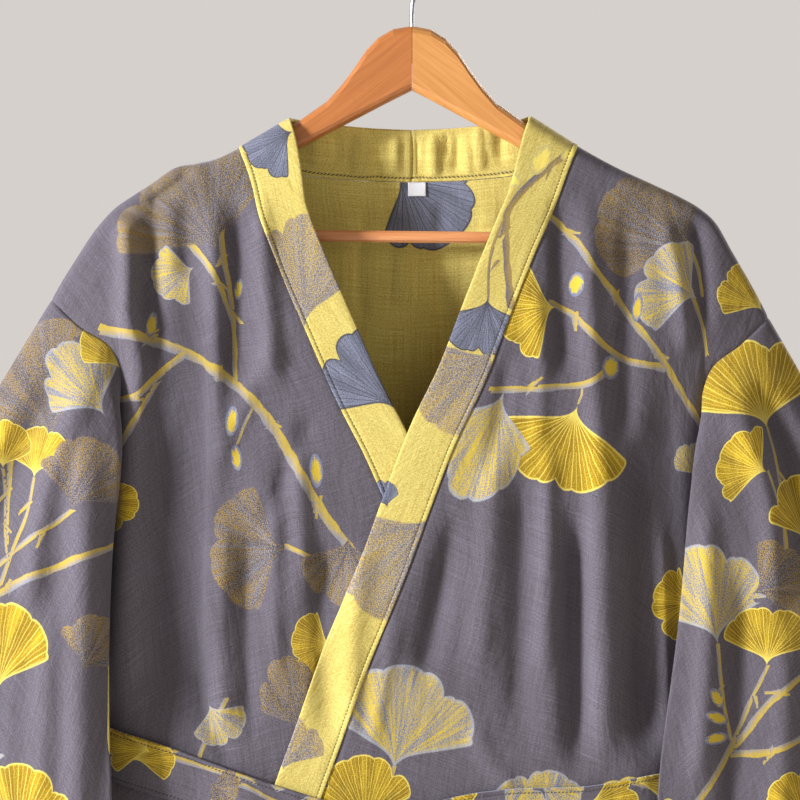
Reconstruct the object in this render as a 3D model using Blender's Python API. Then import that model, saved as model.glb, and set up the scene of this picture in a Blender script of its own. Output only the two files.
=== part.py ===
"""A kimono robe of woven double cloth on a wooden hanger.

All sizes are millimetres until a mesh is made. The origin is the inner top of the hanger's hook,
+Z is up, and the front of the robe faces -Y. Left and right are the viewer's.
"""

from collections import namedtuple
import math

import bmesh
import bpy
from mathutils import Matrix, Vector
import numpy as np

MM = 0.001

# Driving sizes of the cloth
WALL = 1.6
BAND_WALL = 2.6
BELT_WALL = 2.4
SEAM_GAP = 0.35
UNDERARM_EASE = 2.4
UNDERARM_Z = -505.0
HEM_Z = -1250.0
BAND_WIDTH = 35.0
BELT_WIDTH = 38.0
SHOULDER_ROUND = 10.5
SIDE_ROUND = 70.0

# The upper front's lift off the lower one: where it starts in height and fades in width
OVERLAP_LIFT = 6.0
LIFT_TOP_Z, LIFT_GROWTH = -225.0, 100.0
LIFT_SIDE_X, LIFT_FADE = 215.0, 60.0

# Driving sizes of the hanger
WOOD_THICKNESS = 14.0
WOOD_END = 217.0
HANGER_TILT = 0.6
BAR_RADIUS = 4.5
BAR_Z = -226.1
BAR_HALF = 207.0
BAR_SOCKET_FIT = 0.3
WIRE_RADIUS = 1.85
HOOK_RADIUS = 21.0
CREST_Z = -70.0
SHANK_FOOT_Z = -98.0
SHANK = ((0, 0, SHANK_FOOT_Z), (0, 0, -74), (0, 0, -58), (1.2, 0, -49))
HOOK_FROM, HOOK_TO = -62.0, 205.0
HOOK_BENDS, HOOK_POINTS = 22, 44
BAR_SOCKET_DEPTH = 25.0
SHANK_BORE_RISE = 20.0
BORE_SIDES = 16

# Rows and columns of the panels
ARMHOLE_ROWS = (0, 0.006, 0.022, 0.06, 0.12, 0.2, 0.29, 0.39, 0.5, 0.62, 0.75, 0.88, 1)
SKIRT_ROWS = 15
FRONT_COLUMNS = 12
SHOULDER_COLUMNS = 7
NECK_SHARES = (0, 0.25, 0.48, 0.68, 0.84, 0.93, 0.98, 1)
NECK_FOOT_SHARE = 0.44
SIDE_CROWDING = 1.35
SLEEVE_RINGS = (0, 0.04, 0.1, 0.18, 0.27, 0.36, 0.46, 0.57, 0.68, 0.79, 0.9, 1)
SHOULDER_POINTS = 60

# Share of the sleeve's first rings that is eased out at the underarm, and the ease's spread
EASE_RINGS = (1.0, 1.0, 0.5)
EASE_SPREAD = 1.3

# Columns: x, z. The line over the shoulders, which is also the crest of the neckband's sides.
CREST = (
    (-266, -273), (-258, -259), (-248, -243), (-234, -221.8), (-219.8, -206), (-206, -196.2),
    (-191, -186.5), (-175, -175.5), (-159, -172.4), (-145, -169.1), (-127.5, -160.8),
    (-110, -150.5), (-90.3, -138.8), (-70, -121), (-50, -103), (-30, -80), (0, -60),
    (30, -80), (50, -103), (70, -121), (87, -137.3), (104, -148.5), (122, -159.5),
    (150, -175.0), (180, -188.9), (200, -198.4), (212, -205.4), (225, -217.6),
    (235.3, -235.8), (253.1, -266.9), (263, -286),
)

# Columns: z, half width of the body at its side seams.
SIDE_LEFT = (
    (-311, 214.5), (-400, 218), (-450, 221), (-505, 226), (-580, 230), (-650, 233),
    (-760, 243), (-950, 262), (-1120, 276), (-1250, 282),
)
SIDE_RIGHT = (
    (-331, 213.5), (-400, 216.5), (-450, 218.6), (-505, 222), (-580, 226), (-650, 229),
    (-760, 240), (-950, 258), (-1120, 272), (-1250, 278),
)

# Columns: x, z. The armhole seam, from the top of the shoulder line to the underarm.
ARMHOLE_LEFT = (
    (-266, -273), (-243, -294), (-222, -308), (-215.5, -322), (-217, -360), (-219, -400),
    (-222, -450), (-226, -505),
)
ARMHOLE_RIGHT = (
    (263, -286), (241, -307), (221, -323), (214.5, -338), (215.5, -365), (217.5, -400),
    (219.5, -450), (222, -505),
)

# Columns: x, z. The seam between a front and its neckband, shoulder to hem.
NECK_SEAM_LEFT = (
    (-127.5, -160.8), (-119, -184), (-111, -215), (-94.7, -257.2), (-77.7, -296.4),
    (-53.3, -351.2), (-34, -388.9), (-20.7, -419.3), (2, -472), (16, -505), (33, -550),
    (47, -590), (66, -642), (92, -740), (108, -900), (118, -1250),
)
NECK_SEAM_RIGHT = (
    (122, -159.5), (115.5, -176), (107.3, -198), (88.8, -241.7), (69.6, -290.5),
    (51.1, -337.9), (31.8, -378), (14.8, -422), (-3.7, -472.6), (-18, -508), (-36.3, -552),
    (-50, -592), (-68.8, -645), (-92, -740), (-108, -900), (-118, -1250),
)

# Columns: share from centre back to the shoulder, z of the neck seam, z of the free edge.
BACK_NECK = ((0, -184.5, -146), (0.36, -183, -144.6), (0.68, -178.5, -142), (0.9, -170, -139.5))
FREE_EDGE_LEFT = (-90.3, -138.8)
FREE_EDGE_RIGHT = (87.0, -137.3)

# Depth of the cloth at each height. Columns: z, front, back.
DEPTH = (
    (-60, 16, 20), (-200, 24, 22), (-400, 25, 24), (-560, 24, 25), (-650, 18, 20),
    (-760, 24, 26), (-1000, 29, 31), (-1250, 32, 35),
)
DEPTH_REACH = 110.0
FOLD_ONSET = 30.0
FOLD_HEAD, FOLD_TAIL = 0.3, 0.2
FOLD_SIDE_RATE = 2.5

# Share of the body's depth that is gone at its side edge. Columns: z, share.
SIDE_TAPER = ((-280, 0), (-331, 0.3), (-400, 0.85), (-470, 0.92), (-505, 1), (-1250, 1))

Fold = namedtuple("Fold", "x_top z_top x_foot z_foot width height")

FRONT_FOLDS = (
    Fold(-188, -250, -190, -600, 20, -7),
    Fold(-148, -236, -152, -560, 14, 4.5),
    Fold(-118, -380, -78, -520, 15, 3),
    Fold(140, -340, 146, -625, 12, 4.5),
    Fold(122, -400, 121, -600, 10, -3),
    Fold(104, -420, 100, -625, 12, 3.5),
    Fold(186, -300, 181, -612, 16, -8),
    Fold(26, -450, 2, -545, 11, -3),
    Fold(-205, -690, -228, -1290, 19, 8),
    Fold(-172, -680, -186, -1290, 17, -6),
    Fold(-128, -690, -140, -1290, 20, 7),
    Fold(-84, -680, -92, -1290, 16, -5),
    Fold(-30, -700, -42, -1290, 22, 6),
    Fold(30, -690, 34, -1290, 19, -6),
    Fold(66, -690, 84, -1290, 20, 8),
    Fold(112, -680, 132, -1290, 17, -6),
    Fold(158, -690, 184, -1290, 20, 9),
    Fold(196, -690, 232, -1290, 17, -6),
)
BACK_FOLDS = (
    Fold(-190, -250, -196, -588, 18, 6),
    Fold(-146, -260, -152, -588, 16, -5),
    Fold(-96, -300, -104, -588, 20, 5),
    Fold(20, -240, 26, -588, 24, -4),
    Fold(88, -280, 96, -588, 20, 5),
    Fold(140, -250, 150, -588, 16, -5),
    Fold(188, -260, 190, -588, 17, 6),
    Fold(-210, -700, -236, -1290, 18, 9),
    Fold(-160, -700, -180, -1290, 17, -7),
    Fold(-112, -700, -124, -1290, 20, 8),
    Fold(-50, -700, -62, -1290, 20, -7),
    Fold(12, -700, 10, -1290, 22, 8),
    Fold(70, -700, 78, -1290, 18, -7),
    Fold(120, -700, 136, -1290, 20, 9),
    Fold(170, -700, 192, -1290, 17, -7),
)

# One ring of a sleeve: its share of the length, then the outer fold, the inner fold at the
# front, the underarm and the inner fold at the back, each as x, y, z. The bulges push the
# middles of the front and back faces out, and the shares place the two folds on the ring.
Ring = namedtuple("Ring", "along outer fold under inner front_bulge back_bulge fold_at inner_at")

SLEEVE_LEFT = (
    Ring(0, (-266, 0, -273), (-216, -19, -316), (-226, 0, -505), (-216, 19, -316), 8, 8, 0.13, 0.13),
    Ring(0.12, (-292.5, -3, -317), (-216, -38, -350), (-234, -6, -528), (-230, 21, -360), 13, 9, 0.18, 0.16),
    Ring(0.36, (-345, -8, -407), (-219, -47, -455), (-241, -20, -575), (-252, 17, -475), 17, 11, 0.29, 0.25),
    Ring(0.57, (-384, -12, -489), (-220, -54, -545), (-243, -35, -618), (-277, 13, -555), 19, 12, 0.37, 0.28),
    Ring(0.77, (-413, -16, -571), (-220, -57, -632), (-237, -47, -675), (-300, 7, -640), 17, 12, 0.42, 0.28),
    Ring(1, (-434, -22, -664), (-218, -56, -744), (-228, -53, -750), (-312, -10, -722), 11, 9, 0.47, 0.28),
)
SLEEVE_RIGHT = (
    Ring(0, (263, 0, -286), (215, -19, -334), (222, 0, -505), (215, 19, -334), 8, 8, 0.13, 0.13),
    Ring(0.12, (287.5, -3, -329), (211, -38, -366), (234, -6, -528), (231, 21, -374), 13, 9, 0.18, 0.16),
    Ring(0.36, (337, -8, -420), (199, -47, -470), (236, -21, -575), (250, 17, -482), 17, 11, 0.3, 0.25),
    Ring(0.57, (371, -12, -501), (190, -54, -556), (224, -41, -616), (264, 11, -562), 19, 12, 0.39, 0.28),
    Ring(0.77, (395, -16, -581), (181, -57, -636), (208, -51, -668), (276, 5, -640), 17, 12, 0.42, 0.28),
    Ring(1, (410, -22, -668), (180, -56, -746), (192, -54, -751), (284, -12, -724), 11, 9, 0.47, 0.28),
)
RING_BLEND = 0.2
TUCK_BULGE = 3.0

# Height of the armhole over which the neckband leaves the shoulder, as a share
BAND_START = 0.16
BAND_STEP = 0.004

# Columns: x, z of the belt's middle line in front, left to right.
BELT_FRONT = (
    (-236, -603), (-220, -608), (-170, -623), (-140, -634), (-105, -646), (-60, -660),
    (-34, -668), (7, -662), (43, -654), (66, -651), (132, -648), (178, -640), (236, -634),
)
BELT_CLEAR = 4.0
BELT_STEPS = 46
BELT_CORNER = 0.16
BELT_RISE_X, BELT_RISE_RUN = -160.0, 45.0
BELT_FALL_X, BELT_FALL_RUN = 200.0, 60.0
BAND_OUTER_X = -90.0
KNOT_X, KNOT_Z = -34.0, -668.0
KNOT_SIZE = (50.0, 24.0, 46.0)
KNOT_SQUARENESS = 3
KNOT_PINCH, KNOT_PINCH_HEIGHT = 0.16, 0.45
KNOT_TURN = 0.22
KNOT_SEAT = 0.5

# Columns: x, z of each belt end's middle line, from the knot to the tip.
END_TOP_Z = KNOT_Z - KNOT_SIZE[2] / 2 - SEAM_GAP
END_LEFT = ((-45, END_TOP_Z), (-54, -760), (-62, -860), (-66, -960), (-68, -1062))
END_RIGHT = ((-22, END_TOP_Z), (-10, -760), (0, -860), (3, -960), (6, -1030))
END_CLEARS = (8.0, 12.0)
END_STEPS = 8
END_LIFT, END_LIFT_SHARE = 9.0, 0.25

# The hanger's wood before it is tilted. Columns: x, top z, bottom z.
WOOD = (
    (0.15, -70, -118), (14, -72.5, -125), (25, -79, -130.8), (34, -88.5, -135.6),
    (42, -100.5, -139.8), (51.5, -113.5, -144.8), (63, -126.5, -151), (84, -141.4, -162),
    (105, -153.6, -174), (128, -165, -187.5), (150, -175, -200), (180, -189, -217),
    (200, -198.6, -229.5), (210, -205.2, -234.5), (215, -211.5, -233), (217, -218, -227),
)
WOOD_SIDES = 14
WOOD_TIP, WOOD_TIP_THINNING = 5.0, 0.72

LABEL_SIZE = (13.3, 10.4)
LABEL_WALL = 0.5
LABEL_X, LABEL_TOP_Z = 3.7, -184.5

COLOURS = {
    "cloth_grey": ((0.09, 0.082, 0.1), 0.9, 0.0),
    "cloth_yellow": ((0.72, 0.6, 0.12), 0.85, 0.0),
    "label_white": ((0.85, 0.85, 0.83), 0.7, 0.0),
    "wood": ((0.6, 0.2, 0.045), 0.45, 0.0),
    "wood_red": ((0.5, 0.15, 0.06), 0.5, 0.0),
    "steel": ((0.6, 0.6, 0.6), 0.25, 1.0),
}


def eased(share):
    share = np.clip(share, 0.0, 1.0)
    return share * share * (3.0 - 2.0 * share)


def rounded(share):
    """A quarter circle: steep at 0, level from 1 on."""
    return np.sqrt(np.clip(1.0 - (1.0 - np.clip(share, 0.0, 1.0)) ** 2, 0.0, 1.0))


def through(knots, values, at):
    """A smooth curve through values at rising knots, read at any places."""
    knots = np.asarray(knots, float)
    values = np.asarray(values, float)
    flat = values.reshape(len(knots), -1)
    steps = np.diff(knots)
    slopes = np.diff(flat, axis=0) / steps[:, None]
    tangents = np.vstack([slopes[:1], np.zeros((len(knots) - 2, flat.shape[1])), slopes[-1:]])
    before, after = steps[:-1, None], steps[1:, None]
    tangents[1:-1] = (slopes[:-1] * after + slopes[1:] * before) / (before + after)
    at = np.asarray(at, float)
    place = np.clip(np.searchsorted(knots, at.ravel(), side="right") - 1, 0, len(steps) - 1)
    share = (np.clip(at.ravel(), knots[0], knots[-1]) - knots[place]) / steps[place]
    t, h = share[:, None], steps[place][:, None]
    result = (
        (2 * t**3 - 3 * t**2 + 1) * flat[place]
        + (t**3 - 2 * t**2 + t) * h * tangents[place]
        + (3 * t**2 - 2 * t**3) * flat[place + 1]
        + (t**3 - t**2) * h * tangents[place + 1]
    )
    return result.reshape(at.shape + values.shape[1:])


def column(table, index):
    return np.array([row[index] for row in table], float)


def along(points, share):
    """The place at a share of the length of a smooth line through points."""
    points = np.asarray(points, float)
    lengths = np.concatenate([[0], np.cumsum(np.linalg.norm(np.diff(points, axis=0), axis=1))])
    return through(lengths / lengths[-1], points, share)


def crest(x):
    return through(column(CREST, 0), column(CREST, 1), x)


def by_height(table, z, index=1):
    """A column of a table of falling z, read at z."""
    return through(-column(table, 0), column(table, index), -z)


def half_width(x, z):
    return np.where(x < 0, by_height(SIDE_LEFT, z), by_height(SIDE_RIGHT, z))


def relief(folds, x, z):
    total = np.zeros(np.broadcast(x, z).shape)
    for fold in folds:
        run = np.array([fold.x_foot - fold.x_top, fold.z_foot - fold.z_top], float)
        length = np.hypot(*run)
        dx, dz = x - fold.x_top, z - fold.z_top
        share = (dx * run[0] + dz * run[1]) / length**2
        across = (dx * run[1] - dz * run[0]) / length
        ends = eased(share / FOLD_HEAD) * eased((1 - share) / FOLD_TAIL)
        total = total + fold.height * np.exp(-((across / fold.width) ** 2)) * ends
    return total


def depth(x, z, front):
    """How far the cloth stands from the middle plane at x, z."""
    drop = np.maximum(crest(x) - z, 0.0)
    gain = by_height(DEPTH, z, 1 if front else 2) * (1 - np.exp(-drop / DEPTH_REACH))
    folds = relief(FRONT_FOLDS if front else BACK_FOLDS, x, z) * (1 - np.exp(-drop / FOLD_ONSET))
    inside = np.maximum(half_width(x, z) - np.abs(x), 0.0) / SIDE_ROUND
    taper = by_height(SIDE_TAPER, z) * (1 - rounded(inside))
    taper = np.where(z > SIDE_TAPER[0][0], 0.0, taper)
    folds = folds * (1 - taper) * eased(inside * FOLD_SIDE_RATE + (z > SIDE_TAPER[1][0]))
    return (SHOULDER_ROUND * rounded(drop / SHOULDER_ROUND) + gain) * (1 - taper) + folds


def overlap_lift(x, z):
    """How far the upper front stands off the lower one."""
    return OVERLAP_LIFT * eased((LIFT_SIDE_X - x) / LIFT_FADE) * eased((LIFT_TOP_Z - z) / LIFT_GROWTH)


def row_height(row):
    """Row 0 is the shoulder, 1 the underarm and 2 the hem."""
    return np.clip(row, 0, 1), np.clip(row - 1, 0, 1)


def panel(row, blend, top, foot, skirt, inner, outer):
    """A sheet between four edges down to the underarm, which then falls to the hem.

    top, foot and skirt are x, z of each point's column at the shoulder, at the underarm and at
    the point's own height. inner and outer give the two side edges, and blend runs between them.
    """
    upper, _ = row_height(row)
    u, v = blend[..., None], upper[..., None]
    corners = (1 - v) * ((1 - u) * inner(0 * upper) + u * outer(0 * upper)) + v * (
        (1 - u) * inner(0 * upper + 1) + u * outer(0 * upper + 1)
    )
    sheet = (1 - v) * top + v * foot + (1 - u) * inner(upper) + u * outer(upper) - corners
    return np.where((row <= 1)[..., None], sheet, skirt)


def skirt_height(row):
    _, lower = row_height(row)
    return UNDERARM_Z + lower * (HEM_Z - UNDERARM_Z)


def neck_seam(side, row):
    """x, z of the seam between a front and its neckband."""
    table = NECK_SEAM_LEFT if side < 0 else NECK_SEAM_RIGHT
    upper, lower = row_height(np.asarray(row, float))
    top = table[0][1]
    z = top + upper * (UNDERARM_Z - top) + lower * (HEM_Z - UNDERARM_Z)
    return np.stack([through(-column(table, 1), column(table, 0), -z), z], -1)


def shoulder_line(side, across):
    """x, z along the shoulder, neck to armhole."""
    seam, armhole = (NECK_SEAM_LEFT, ARMHOLE_LEFT) if side < 0 else (NECK_SEAM_RIGHT, ARMHOLE_RIGHT)
    x = np.linspace(seam[0][0], armhole[0][0], SHOULDER_POINTS)
    return along(np.stack([x, crest(x)], -1), across)


def front_sheet(side, row, across):
    """Points of a front panel, before its wall is given. across runs from neckband to side."""
    row, across = np.broadcast_arrays(np.asarray(row, float), np.asarray(across, float))
    armhole = ARMHOLE_LEFT if side < 0 else ARMHOLE_RIGHT
    seam = NECK_SEAM_LEFT if side < 0 else NECK_SEAM_RIGHT

    def level(z):
        inner = through(-column(seam, 1), column(seam, 0), -z)
        outer = side * by_height(SIDE_LEFT if side < 0 else SIDE_RIGHT, z)
        x = inner + (outer - inner) * (1 - (1 - across) ** SIDE_CROWDING)
        return np.stack([x, z], -1)

    flat = panel(
        row, across,
        shoulder_line(side, across), level(np.full(row.shape, UNDERARM_Z)), level(skirt_height(row)),
        lambda v: neck_seam(side, v),
        lambda v: along(armhole, v),
    )
    x, z = flat[..., 0], flat[..., 1]
    y = -depth(x, z, True)
    if side > 0:
        y = y - overlap_lift(x, z)
    return np.stack([x, y, z], -1)


def back_neck_seam(share):
    """x, z of the seam at the back of the neck, share 0 at the left shoulder and 1 at the right."""
    half = through(column(BACK_NECK, 0), column(BACK_NECK, 1), np.linspace(0, 0.9, 10))
    half = np.append(half, [NECK_SEAM_LEFT[0][1]])
    shares = np.append(np.linspace(0, 0.9, 10), 1.0)
    left = np.stack([shares * NECK_SEAM_LEFT[0][0], half], -1)[::-1]
    half = np.append(half[:-1], [NECK_SEAM_RIGHT[0][1]])
    right = np.stack([shares * NECK_SEAM_RIGHT[0][0], half], -1)
    line = np.vstack([left, right[1:]])
    return through(np.linspace(0, 1, len(line)), line, share)


def back_sheet(row, across):
    """Points of the back. across is -2 at the left armhole, -1 to 1 over the neck, 2 at the right."""
    row, across = np.broadcast_arrays(np.asarray(row, float), np.asarray(across, float))
    wide = np.abs(across)

    def level(z):
        near_side = 1 - (1 - NECK_FOOT_SHARE) * (2 - np.clip(wide, 1, 2)) ** SIDE_CROWDING
        share = np.where(wide < 1, NECK_FOOT_SHARE * wide, near_side)
        reach = np.where(across < 0, -by_height(SIDE_LEFT, z), by_height(SIDE_RIGHT, z))
        return np.stack([reach * share, z], -1)

    left, right = (shoulder_line(side, np.clip(side * across - 1, 0, 1)) for side in (-1, 1))
    neck = back_neck_seam((1 + np.clip(across, -1, 1)) / 2)
    top = np.where((across < -1)[..., None], left, np.where((across > 1)[..., None], right, neck))
    flat = panel(
        row, (across + 2) / 4,
        top, level(np.full(row.shape, UNDERARM_Z)), level(skirt_height(row)),
        lambda v: along(ARMHOLE_LEFT, v),
        lambda v: along(ARMHOLE_RIGHT, v),
    )
    x, z = flat[..., 0], flat[..., 1]
    return np.stack([x, depth(x, z, False), z], -1)


def armhole_loop(side, turn):
    """The armhole seam as a ring: turn 0 at the top, through the front, 0.5 at the underarm."""
    turn = np.asarray(turn, float)
    flat = along(ARMHOLE_LEFT if side < 0 else ARMHOLE_RIGHT, 1 - np.abs(1 - 2 * turn))
    x, z = flat[..., 0], flat[..., 1]
    y = np.where(turn <= 0.5, -depth(x, z, True), depth(x, z, False))
    return np.stack([x, y, z], -1)


def sleeve_ring(ring, turn):
    """A smooth closed line through eight points of one ring."""
    outer, fold, under, inner = (np.array(p, float) for p in ring[1:5])
    front = (outer + fold) / 2 - (0, ring.front_bulge, 0)
    back = (outer + inner) / 2 + (0, ring.back_bulge, 0)
    tuck = (fold + under) / 2 - (0, TUCK_BULGE, 0)
    rear = (inner + under) / 2 + (0, TUCK_BULGE, 0)
    points = np.array([outer, front, fold, tuck, under, rear, inner, back])
    fold_at, inner_at = ring.fold_at, 1 - ring.inner_at
    places = np.array([
        0, fold_at / 2, fold_at, (fold_at + 0.5) / 2,
        0.5, (0.5 + inner_at) / 2, inner_at, (1 + inner_at) / 2,
    ])
    around = np.concatenate([places[-2:] - 1, places, places[:3] + 1])
    return through(around, np.vstack([points[-2:], points, points[:3]]), turn)


def sleeve_sheet(side, share, turn):
    """Points of a sleeve: share 0 at the armhole and 1 at the cuff, turn round the tube."""
    share, turn = np.broadcast_arrays(np.asarray(share, float), np.asarray(turn, float))
    rings = SLEEVE_LEFT if side < 0 else SLEEVE_RIGHT
    at = [ring.along for ring in rings]
    numbers = np.array([
        np.concatenate([np.ravel(ring[1:5]), ring[5:]]) for ring in rings
    ])
    found = np.empty(share.shape + (3,))
    for value in np.unique(share):
        row = through(at, numbers, np.array(value))
        ring = Ring(value, row[0:3], row[3:6], row[6:9], row[9:12], *row[12:])
        here = share == value
        found[here] = sleeve_ring(ring, turn[here])
    start = armhole_loop(side, turn) - sleeve_ring(rings[0], turn)
    return found + start * (1 - eased(share / RING_BLEND))[..., None]


def band_sheet(side, row, across):
    """Points of a neckband half. row -1 is centre back, 0 the shoulder, then as on a front."""
    row, across = np.broadcast_arrays(np.asarray(row, float), np.asarray(across, float))
    table = NECK_SEAM_LEFT if side < 0 else NECK_SEAM_RIGHT
    corner = np.array(table[0], float)
    free_corner = np.array(FREE_EDGE_LEFT if side < 0 else FREE_EDGE_RIGHT, float)

    behind = np.clip(1 + row, 0, 1)
    seam_back = back_neck_seam(0.5 + side * behind / 2)
    free_z = np.append(column(BACK_NECK, 2), free_corner[1])
    free_back = np.stack([
        behind * free_corner[0],
        through(np.append(column(BACK_NECK, 0), 1.0), free_z, behind),
    ], -1)

    ahead = np.clip(row, 0, 2)
    seam = neck_seam(side, ahead)
    after = neck_seam(side, np.clip(ahead + BAND_STEP, 0, 2))
    before = neck_seam(side, np.clip(ahead - BAND_STEP, 0, 2))
    run = after - before
    run = run / np.linalg.norm(run, axis=-1, keepdims=True)
    free = seam + BAND_WIDTH * side * np.stack([run[..., 1], -run[..., 0]], -1)
    start = eased(1 - ahead / BAND_START)[..., None]
    free = free * (1 - start) + (seam + free_corner - corner) * start

    seam = np.where((row < 0)[..., None], seam_back, seam)
    free = np.where((row < 0)[..., None], free_back, free)
    flat = seam + (free - seam) * across[..., None]
    x, z = flat[..., 0], flat[..., 1]
    y = np.where(row < 0, depth(x, z, False), -depth(x, z, True))
    if side > 0:
        y = np.where(row > 0, y - overlap_lift(x, z), y)
    return np.stack([x, y, z], -1)


def belt_sheet(turn, rise):
    """Points of the belt round the body: turn 0 to 0.5 in front, left to right, then behind."""
    turn, rise = np.broadcast_arrays(np.asarray(turn, float), np.asarray(rise, float))
    front = turn <= 0.5
    share = np.where(front, turn * 2, 2 - turn * 2)
    sweep = np.clip(np.minimum(share, 1 - share) / BELT_CORNER, 0, 1) * math.pi / 2
    side = np.where(share < 0.5, -1.0, 1.0)
    line = np.array(BELT_FRONT, float)
    left_z, right_z = line[0, 1], line[-1, 1]
    left = by_height(SIDE_LEFT, np.array(left_z)) + BELT_CLEAR - SIDE_ROUND
    right = by_height(SIDE_RIGHT, np.array(right_z)) + BELT_CLEAR - SIDE_ROUND
    across = np.clip((share - BELT_CORNER) / (1 - 2 * BELT_CORNER), 0, 1)
    bent = (share < BELT_CORNER) | (share > 1 - BELT_CORNER)
    corner = side * (np.where(side < 0, left, right) + SIDE_ROUND * np.cos(sweep))
    x = np.where(bent, corner, across * (left + right) - left)
    middle = through(line[:, 0], line[:, 1], x)
    level = left_z + (right_z - left_z) * (x - line[0, 0]) / (line[-1, 0] - line[0, 0])
    z = np.where(front, middle, level) + rise * BELT_WIDTH
    inner_x = np.clip(x, BELT_CLEAR - left, right - BELT_CLEAR)
    over_bands = eased((x - BELT_RISE_X) / BELT_RISE_RUN) * eased((BELT_FALL_X - x) / BELT_FALL_RUN)
    lift = np.maximum(overlap_lift(x, z) * (x > BAND_OUTER_X), OVERLAP_LIFT * over_bands)
    flat_depth = np.where(front, depth(inner_x, z, True) + lift, depth(inner_x, z, False))
    shrink = np.where(bent, np.sin(sweep), 1.0)
    y = (flat_depth + BELT_CLEAR) * shrink * np.where(front, -1, 1)
    return np.stack([x, y, z], -1)


def end_sheet(points, share, across, clear):
    """Points of a hanging belt end, clear of the front below it."""
    share, across = np.broadcast_arrays(np.asarray(share, float), np.asarray(across, float))
    flat = along(points, share)
    middle, z = flat[..., 0], flat[..., 1]
    x = middle + (across - 0.5) * BELT_WIDTH
    y = -depth(middle, z, True) - OVERLAP_LIFT - clear - END_LIFT * (1 - eased(share / END_LIFT_SHARE))
    return np.stack([x, y, z], -1)


def normals_of(points, closed):
    """Unit normals of a grid of points, from its own rows and columns."""
    padded = np.concatenate([points[:, -2:-1], points, points[:, 1:2]], 1) if closed else points
    down = np.gradient(padded, axis=0)
    across = np.gradient(padded, axis=1)
    if closed:
        down, across = down[:, 1:-1], across[:, 1:-1]
    normal = np.cross(down, across)
    return normal / np.maximum(np.linalg.norm(normal, axis=-1, keepdims=True), 1e-9)


class Sheet:
    """A grid of points with its normals, wall thickness and material."""

    def __init__(self, name, points, wall, material, outward, closed=False):
        self.name = name
        self.points = points
        self.wall = wall
        self.material = material
        self.closed = closed
        self.normals = normals_of(points, closed) * outward

    def pull_in(self, axis, last, distance):
        """Moves one edge back into its own sheet by a distance."""
        points = np.moveaxis(self.points, axis, 0)
        edge, beside = (-1, -2) if last else (0, 1)
        run = points[beside] - points[edge]
        run = run / np.linalg.norm(run, axis=-1, keepdims=True)
        points[edge] += run * distance


def share_normals(*edges):
    """Gives edges that meet at a seam the same normals, so that their cut faces stay parallel."""
    total = sum(np.array(edge) for edge in edges)
    total = total / np.linalg.norm(total, axis=-1, keepdims=True)
    for edge in edges:
        edge[...] = total


def into_plane(normals):
    normals[..., 1] = 0
    normals /= np.linalg.norm(normals, axis=-1, keepdims=True)


def principled(name):
    colour, roughness, metallic = COLOURS[name]
    material = bpy.data.materials.get(name) or bpy.data.materials.new(name)
    material.use_nodes = True
    shader = material.node_tree.nodes["Principled BSDF"]
    shader.inputs["Base Color"].default_value = (*colour, 1)
    shader.inputs["Roughness"].default_value = roughness
    shader.inputs["Metallic"].default_value = metallic
    return material


def add_object(name, mesh, material):
    mesh.materials.append(principled(material))
    piece = bpy.data.objects.new(name, mesh)
    bpy.context.scene.collection.objects.link(piece)
    return piece


def add_wall(sheet):
    """A closed solid between the two faces of a sheet, from an extruded grid."""
    rows, columns = sheet.points.shape[:2]
    outer = sheet.points + sheet.normals * sheet.wall / 2
    inner = sheet.points - sheet.normals * sheet.wall / 2
    bm = bmesh.new()
    bmesh.ops.create_grid(bm, x_segments=columns - 1, y_segments=rows - 1, size=1.0)
    place = {}
    index = bm.verts.layers.int.new("place")
    for vert in bm.verts:
        down = round((vert.co.y + 1) / 2 * (rows - 1))
        across = round((vert.co.x + 1) / 2 * (columns - 1))
        vert[index] = down * columns + across
        place[down, across] = vert
    if sheet.closed:
        ends = {place[down, columns - 1]: place[down, 0] for down in range(rows)}
        bmesh.ops.weld_verts(bm, targetmap=ends)
    grown = bmesh.ops.extrude_face_region(bm, geom=bm.faces[:])
    raised = {item for item in grown["geom"] if isinstance(item, bmesh.types.BMVert)}
    for vert in bm.verts:
        down, across = divmod(vert[index], columns)
        vert.co = Vector((outer if vert in raised else inner)[down, across]) * MM
    bmesh.ops.recalc_face_normals(bm, faces=bm.faces[:])
    mesh = bpy.data.meshes.new(sheet.name)
    bm.to_mesh(mesh)
    bm.free()
    mesh.shade_smooth()
    mesh.set_sharp_from_angle(angle=math.radians(50))
    return add_object(sheet.name, mesh, sheet.material)


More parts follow.
